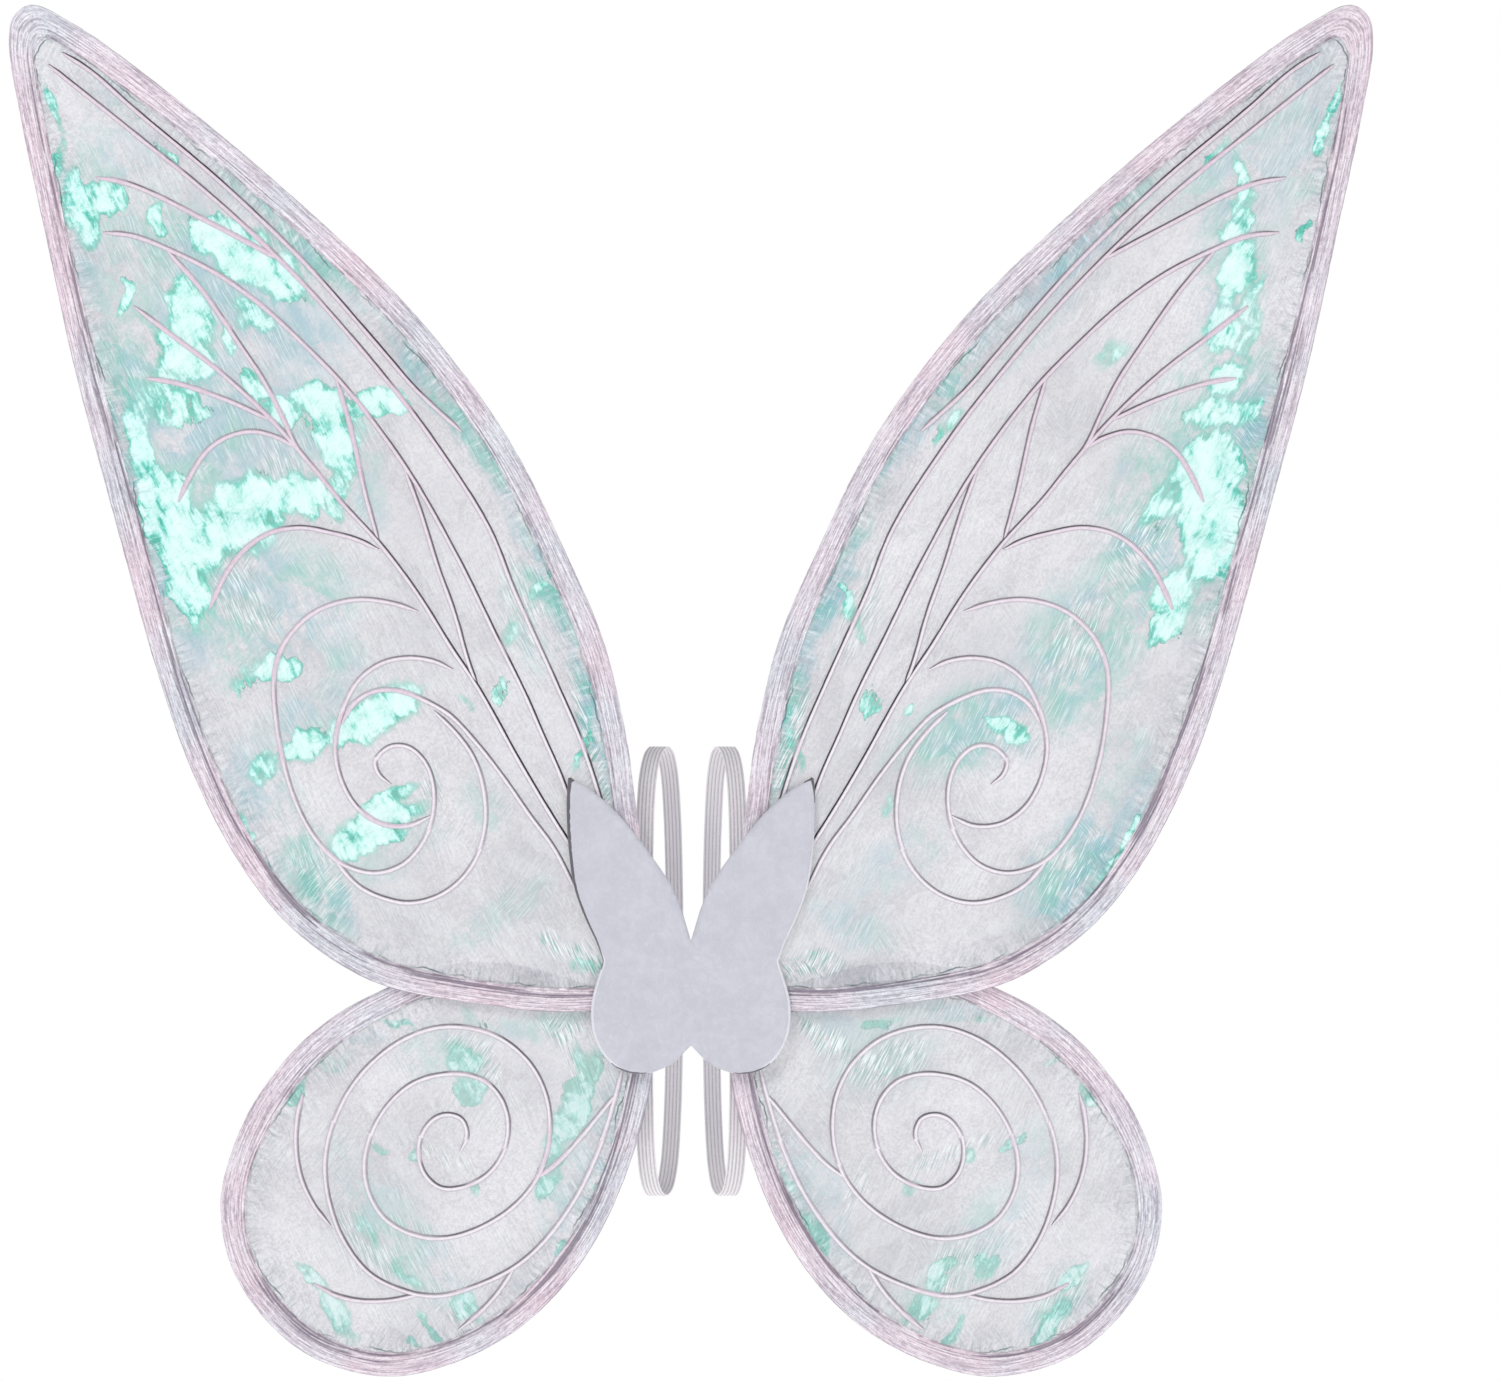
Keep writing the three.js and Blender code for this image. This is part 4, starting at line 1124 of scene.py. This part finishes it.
def declare_felt(outline):
    area_of(outline)


def side_outline(outline, sign):
    """The right side's closed outline, or its mirror image with the same sense of turn."""
    return outline if sign > 0 else other_half(outline)


def cover_half():
    """From the fold line's top round the ear and the lobe to its foot, then up the fold line."""
    return np.vstack([smooth(EAR_INNER, 4), smooth(EAR_OUTER, 4)[1:], smooth(LOBE, 4)[1:]])


def rim_widths(points):
    """How wide the painted shadow line and the pale line along the edge are at each point, in metres."""
    left = points[:, 0] < 0
    x, z = np.abs(points[:, 0]), points[:, 1]
    off, along = nearest(np.column_stack([x, z]), smooth(EAR_OUTER, 4))
    # the painted shadow line runs along the ears' outer edges and round the lobes' feet; the pale line round
    # the lobes and up the right half's outer edge
    ear = np.where(left, 0.0019 * ramp(0.125, 0.0, along) ** 0.7 + 0.0002, 0.0012 * ramp(0.014, 0.002, along))
    ear = ear * ramp(0.004, 0.003, off) * ramp(0.112, 0.10, along)
    foot = 0.0007 * ramp(0.009, 0.004, np.abs(x - 0.036)) * (z < -0.03)
    lobe = 0.0011 * ramp(0.03, 0.045, x) * ramp(0.03, 0.015, z)
    right_side = np.where(points[:, 0] > 0, 0.0006, 0.0) * ramp(0.09, 0.07, z) * (x > 0.045)
    return np.column_stack([np.maximum(ear, foot), np.maximum(lobe, right_side)])


def make_cover():
    for side, sign in SIDES.items():
        outline = side_outline(cover_half(), sign)
        piece = felt_sheet(f"{side}_felt_cover", outline, COVER_Y, FELT_THICK, SHADOW_EDGED_FELT, 5, on_fold,
                           rim_widths=rim_widths)
        dress(piece, f"{side}_cover", [f"{side}_cover"])
        declare_felt(outline)
    strip = np.vstack([STRIP, other_half(STRIP)[1:-1]])
    piece = felt_sheet("centre_felt_cover", strip, COVER_Y, FELT_THICK, FELT, 5, on_fold)
    dress(piece, "hub", ["cover_centre"])
    declare_felt(strip)


# ---------- inside the hub ----------
def make_leaves():
    """The middle felt that carries the wire sleeves, and the web of felt that joins it to the spine."""
    half = cover_half()
    leaf = half + right_of(half) * LEAF_INSET
    leaf[:, 0] = np.maximum(leaf[:, 0], LEAF_X)
    for side, sign in SIDES.items():
        outline = side_outline(leaf, sign)
        piece = felt_sheet(f"{side}_felt_leaf", outline, LEAF_Y, LEAF_THICK, PALE_FELT, 31, roll=0.0003,
                           swell=0.0001)
        dress(piece, f"{side}_wings", [f"{side}_sleeve_leaf"])
        declare_felt(outline)
        outline = side_outline(WEB, sign)
        piece = felt_sheet(f"{side}_felt_web", outline, LEAF_Y, LEAF_THICK, PALE_FELT, 37, roll=0.0002,
                           swell=0.0001, pitch=0.002)
        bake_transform(piece)
        declare_felt(outline)


def make_sleeve(side, name, end, wing, root, near):
    """Woven tape sewn down over one wire end: a tunnel with a flange on both sides, and its stitches."""
    bulge, flange, tape = 0.0020, 0.0042, 0.0003  # the tunnel's half width, the tape's half width and thickness
    sign, outward = SIDES[side], 1 if name == "upper" else -1
    face = LEAF_Y - outward * 0.0008
    run = resample(np.stack([root + (near - root) * t for t in (0.12, 0.82)]), 0.0008)
    run = run + right_of(run) * 0.00012 * np.sin(np.arange(len(run)) * 0.9)[:, None]
    right = right_of(run)
    u = np.linspace(-1, 1, 25)
    hump = np.clip(1 - (u * flange / (bulge * 1.08)) ** 2, 0, 1) ** 0.5
    stand = tape + hump * (abs(wing["y"] - face) + bulge - 0.0001 - tape)
    stand = np.concatenate([stand, np.maximum(stand[::-1] - tape, 0)])
    across = np.concatenate([u, u[::-1]]) * flange
    place = run[:, None, :] + right[:, None, :] * across[None, :, None]
    points = mirrored(in_plane(place, face - outward * stand), sign)
    faces = swept_faces(len(run), len(across), flip=sign * outward < 0)
    piece = mesh_object(f"{side}_{name}_{end}_tape_sleeve", points, faces, None, TAPE)
    dress(piece, f"{side}_wings", [f"{side}_sleeve_{name}_{end}"])
    for way, tag in ((-1, "inner"), (1, "outer")):
        seam = in_plane(run + right * way * flange * 0.78, face - outward * (tape + 0.0001))
        made = stitches(f"{side}_{name}_{end}_sleeve_{tag}_stitches", mirrored(seam, sign), THREAD,
                        length=0.0018, gap=0.0009, radius=0.0002)
        dress(made, f"{side}_wings")


def make_sleeves():
    for side in SIDES:
        for name, wing in WINGS.items():
            wire = wire_line(wing)
            make_sleeve(side, name, "front", wing, wing["roots"][0], wire[0])
            make_sleeve(side, name, "rear", wing, wing["roots"][1], wire[-1])


def rounded_slab(name, low, high, round_off, material):
    """A box with softened edges, from a bevelled mesh."""
    points = [(x, y, z) for x in (low[0], high[0]) for y in (low[1], high[1]) for z in (low[2], high[2])]
    faces = [(0, 1, 3, 2), (4, 6, 7, 5), (0, 4, 5, 1), (2, 3, 7, 6), (0, 2, 6, 4), (1, 5, 7, 3)]
    piece = mesh_object(name, points, faces, None, material)
    bevel = piece.modifiers.new("soft_edges", "BEVEL")
    bevel.width, bevel.segments = round_off, 3
    return piece


def pile_thread(kind, random):
    """One hook or one loose loop: its bend, as (across in mm, share of its height, along in mm), and radii."""
    if kind == "hook":
        bend = [(0, -0.1, 0), (0, 0.45, 0), (0, 0.85, 0.15), (0, 1.0, 0.45), (0, 0.85, 0.8), (0, 0.6, 0.85)]
        return np.array(bend), 0.00014 * np.array([1.4, 1, 1, 1, 0.8, 0.5])
    a, b = random.uniform(-0.9, 0.9, 2)
    bend = [(0, -0.1, 0), (a * 0.4, 0.6, b * 0.4), (a, 0.95, b), (a + 0.3, 0.6, b + 0.4),
            (a + 0.4, -0.1, b + 0.5)]
    return np.array(bend), np.full(5, 0.00009)


def closure_tape(side, kind, body, ground_y, out, material, fuzz_material):
    """One pad of hook-and-loop tape: its ground, its hooks or loops standing along out, and a stitched edge."""
    low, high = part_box(f"{side}_{kind}_pad")
    ground = 0.0008  # the tape's own thickness
    face = ground_y + out * ground
    bottom, top = sorted((ground_y, face))
    slab = rounded_slab(f"{side}_{kind}_tape", (low.x, bottom, low.z), (high.x, top, high.z), 0.0003, material)
    dress(slab, body, [f"{side}_{kind}_pad"])
    tall = min((high.y - low.y) - ground - 0.0001, 0.0013)
    random = np.random.default_rng(71)
    lines = []
    for i in range(7):  # rows 1.48 mm apart across the tape, every other spot along it set off by 0.35 mm
        for j in range(19):
            foot = (low.x + 0.0013 + i * 0.00148 + 0.00035 * (j % 2), face, low.z + 0.0015 + j * 0.0015)
            bend, radii = pile_thread(kind, random)
            line = smooth(foot + bend * [0.001, out * tall, 0.001], 2)
            spots = np.linspace(0, 1, len(bend))
            lines.append((line, np.interp(np.linspace(0, 1, len(line)), spots, radii)))
    pile = joined_tubes(f"{side}_{kind}_tape_{kind}s", lines, 5, fuzz_material)
    dress(pile, body)
    seam = in_plane(rectangle(low, high, 0.0006), face + out * 0.00008)
    thread = stitches(f"{side}_{kind}_tape_stitches", seam, THREAD, length=0.0018, gap=0.0008, radius=0.00018)
    dress(thread, body)


def make_closures():
    """Hook tape on the leaf and loop tape on the back of the cover half."""
    for side in SIDES:
        leaf_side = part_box(f"{side}_hook_pad")[1].y
        cover_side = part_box(f"{side}_loop_pad")[0].y
        closure_tape(side, "hook", f"{side}_wings", leaf_side, -1, TAPE, PLASTIC)
        closure_tape(side, "loop", f"{side}_cover", cover_side, 1, LOOP, THREAD)


def make_hub():
    """The felt panel and patch behind, and the spine that the layers are sewn to."""
    half = smooth(PANEL, 3)
    panel = np.vstack([half, other_half(half)[1:-1]])
    piece = felt_sheet("back_felt_panel", panel, PANEL_Y, PANEL_THICK, FELT, 41, roll=0.0009, swell=0.0002)
    dress(piece, "hub", ["back_panel"])
    declare_felt(panel)
    low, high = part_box("back_patch")
    corner = 0.004
    turn = np.linspace(0, math.pi / 2, 5)
    quarter = [high.x - corner, high.z - corner] + corner * np.column_stack([np.cos(turn), np.sin(turn)])
    top = np.vstack([quarter, other_half(quarter)])
    patch = np.vstack([top, (top * [1, -1] + [0, low.z + high.z])[::-1]])
    piece = felt_sheet("back_felt_patch", patch, (low.y + high.y) / 2, high.y - low.y, PALE_FELT, 43,
                       roll=0.0005, swell=0.00012, pitch=0.0022)
    dress(piece, "hub", ["back_patch"])
    declare_felt(patch)
    seam = closed(patch) * [1 - 0.002 / high.x, 1 - 0.002 / high.z]
    dress(stitches("back_patch_stitches", in_plane(seam, high.y - 0.00012), THREAD), "hub")
    seam = closed(panel)
    seam = in_plane(seam + right_of(seam) * 0.003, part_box("back_panel")[1].y + 0.00003)
    dress(stitches("back_panel_stitches", seam, THREAD), "hub")
    low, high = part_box("spine_felt")
    spine = rounded_slab("felt_spine", low, high, 0.0008, PALE_FELT)
    dress(spine, "hub", ["spine_felt"])


def make_fold_cores():
    """A soft felt roll inside each fold line, so that no gap opens where the front felt bends."""
    rows = 40
    z = np.linspace(-0.0420, 0.0585, rows)
    for side, sign in SIDES.items():
        line = in_plane(np.column_stack([np.full(rows, sign * FOLD_X), z]), COVER_Y)
        piece = joined_tubes(f"{side}_fold_core", [(line, np.full(rows, FELT_THICK * 0.46))], 12, FELT)
        dress(piece, "hub")


# ---------- arm loops ----------
def ribbed_section():
    """The elastic's cross-section: five ribs on each face, as (across, stand-off, rib height from -1 to 1)."""
    u = np.linspace(-1, 1, 41)
    rib = -np.cos(5 * math.pi * u)
    edge = np.sqrt(np.clip(1 - (np.abs(u).clip(0.9, 1) - 0.9) ** 2 / 0.01, 0, 1))
    stand = (STRAP_THICK / 2 - 0.00016 + 0.00013 * rib) * (0.25 + 0.75 * edge)
    across = np.concatenate([u, u[::-1]]) * STRAP_WIDTH / 2
    return across, np.concatenate([stand, -stand[::-1]]), np.concatenate([rib, rib[::-1]])


def ribbon(name, line, sign, lean):
    """The elastic swept along a line in Y and Z at the strap's x."""
    across, stand, rib = ribbed_section()
    out = right_of(line)
    rows, columns = len(line), len(across)
    ripple = 1 + 0.10 * np.sin(arc(line) / 0.0016)[:, None]
    y, z = (line[:, k:k + 1] + out[:, k:k + 1] * stand * ripple for k in (0, 1))
    points = np.stack([STRAP_X + across - lean * y, y, z], axis=-1).reshape(-1, 3)
    strip = np.column_stack([np.repeat(arc(line), columns), np.tile(across, rows), np.tile(rib, rows)])
    # which half of the section is the loop's inner face, that the material paints darker
    inner = np.tile(np.repeat([0.0, 1.0], columns // 2), rows)
    return mesh_object(name, mirrored(points, sign), swept_faces(rows, columns, flip=sign > 0),
                       {"strip": strip, "inner_face": inner}, ELASTIC)


def make_straps():
    """Each arm loop, its two sewn-down ends, and a boxed cross of stitches on each end."""
    for side, sign in SIDES.items():
        line = resample(smooth(STRAP_PATH), STRAP_PITCH)
        piece = ribbon(f"{side}_elastic_loop", line, sign, STRAP_LEAN)
        dress(piece, f"{side}_strap", [f"{side}_strap_loop"])
        float(arc(line)[-1])
        for end in ("top", "bottom"):
            node = f"{side}_strap_end_{end}"
            low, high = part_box(node)
            y = middle_y(node)
            piece = ribbon(f"{side}_elastic_end_{end}", resample(np.array([[y, high.z], [y, low.z]]), 0.0016),
                           sign, 0.0)
            dress(piece, "hub", [node])
            corners = in_plane(rectangle(low, high, 0.0018), high.y + 0.00005)
            for kind, seam in (("stitches", np.vstack([corners, corners[2:3]])), ("cross", corners[[1, 3]])):
                thread = stitches(f"{side}_elastic_end_{end}_{kind}", seam, THREAD, length=0.0020, gap=0.0008,
                                  radius=0.0002)
                dress(thread, "hub")


# ---------- stage, light and camera ----------
def make_stage():
    """A pale floor, shown to the camera as plain white."""
    floor_z, half = -0.60, 14.0
    points = [(-half, -half, floor_z), (half, -half, floor_z), (half, half, floor_z), (-half, half, floor_z)]
    s = Shader("pale_floor")
    pale = s.mix(s.noise(s.place(), 3.0, 2.0), rgb(250, 250, 250), rgb(255, 255, 255))
    paint = s.node("ShaderNodeBsdfPrincipled", {"Base Color": pale, "Roughness": 0.9, "Emission Color": WHITE,
                                                "Emission Strength": 0.45}).outputs[0]
    plain = s.node("ShaderNodeEmission", {0: WHITE, 1: 1.0}).outputs[0]
    s.node("ShaderNodeOutputMaterial", {0: s.for_camera(plain, paint)})
    floor = mesh_object("floor", points, [(0, 1, 2, 3)], None, s.owner)


def make_world():
    """White all round: full white to the eye, a little softer as light."""
    s = Shader("white_studio", bpy.data.worlds)
    bpy.context.scene.world = s.owner
    seen = s.node("ShaderNodeBackground", {0: WHITE, 1: 1.0}).outputs[0]
    light = s.node("ShaderNodeBackground", {0: (0.97, 0.98, 1, 1), 1: 0.60}).outputs[0]
    s.node("ShaderNodeOutputWorld", {0: s.for_camera(seen, light)})


def add_to_scene(name, data, place, turn):
    made = bpy.data.objects.new(name, data)
    made.location, made.rotation_euler = place, turn
    bpy.context.scene.collection.objects.link(made)
    return made


def make_lights():
    """Three square lamps: name, place, size in metres and power in watts."""
    for name, place, size, power in (("key", (-1.3, -2.2, 1.9), 1.0, 25), ("fill", (1.9, -1.6, -0.1), 1.4, 8),
                                     ("back", (0.6, 2.4, 1.2), 1.4, 12)):
        data = bpy.data.lights.new(name, "AREA")
        data.shape, data.size, data.energy = "SQUARE", size, power
        towards_wings = Vector((0, 0, 0.15)) - Vector(place)
        add_to_scene(name, data, place, towards_wings.to_track_quat("-Z", "Y").to_euler())


def make_camera():
    """Square on to the wings, a little right of their middle, and level."""
    centre_x, centre_z, frame_width = 0.0344, 0.1748, 0.875
    data = bpy.data.cameras.new("camera")
    data.lens, data.sensor_width = 100.0, 36.0
    data.clip_start, data.clip_end = 0.05, 60.0
    distance = frame_width * data.lens / data.sensor_width
    place = (centre_x, UPPER_Y - distance, centre_z)
    bpy.context.scene.camera = add_to_scene("camera", data, place, (math.pi / 2, 0, 0))


make_wings()
make_cover()
make_leaves()
make_sleeves()
make_closures()
make_hub()
make_fold_cores()
make_straps()
make_stage()
make_world()
make_lights()
make_camera()
bpy.context.scene.view_settings.view_transform = "Standard"
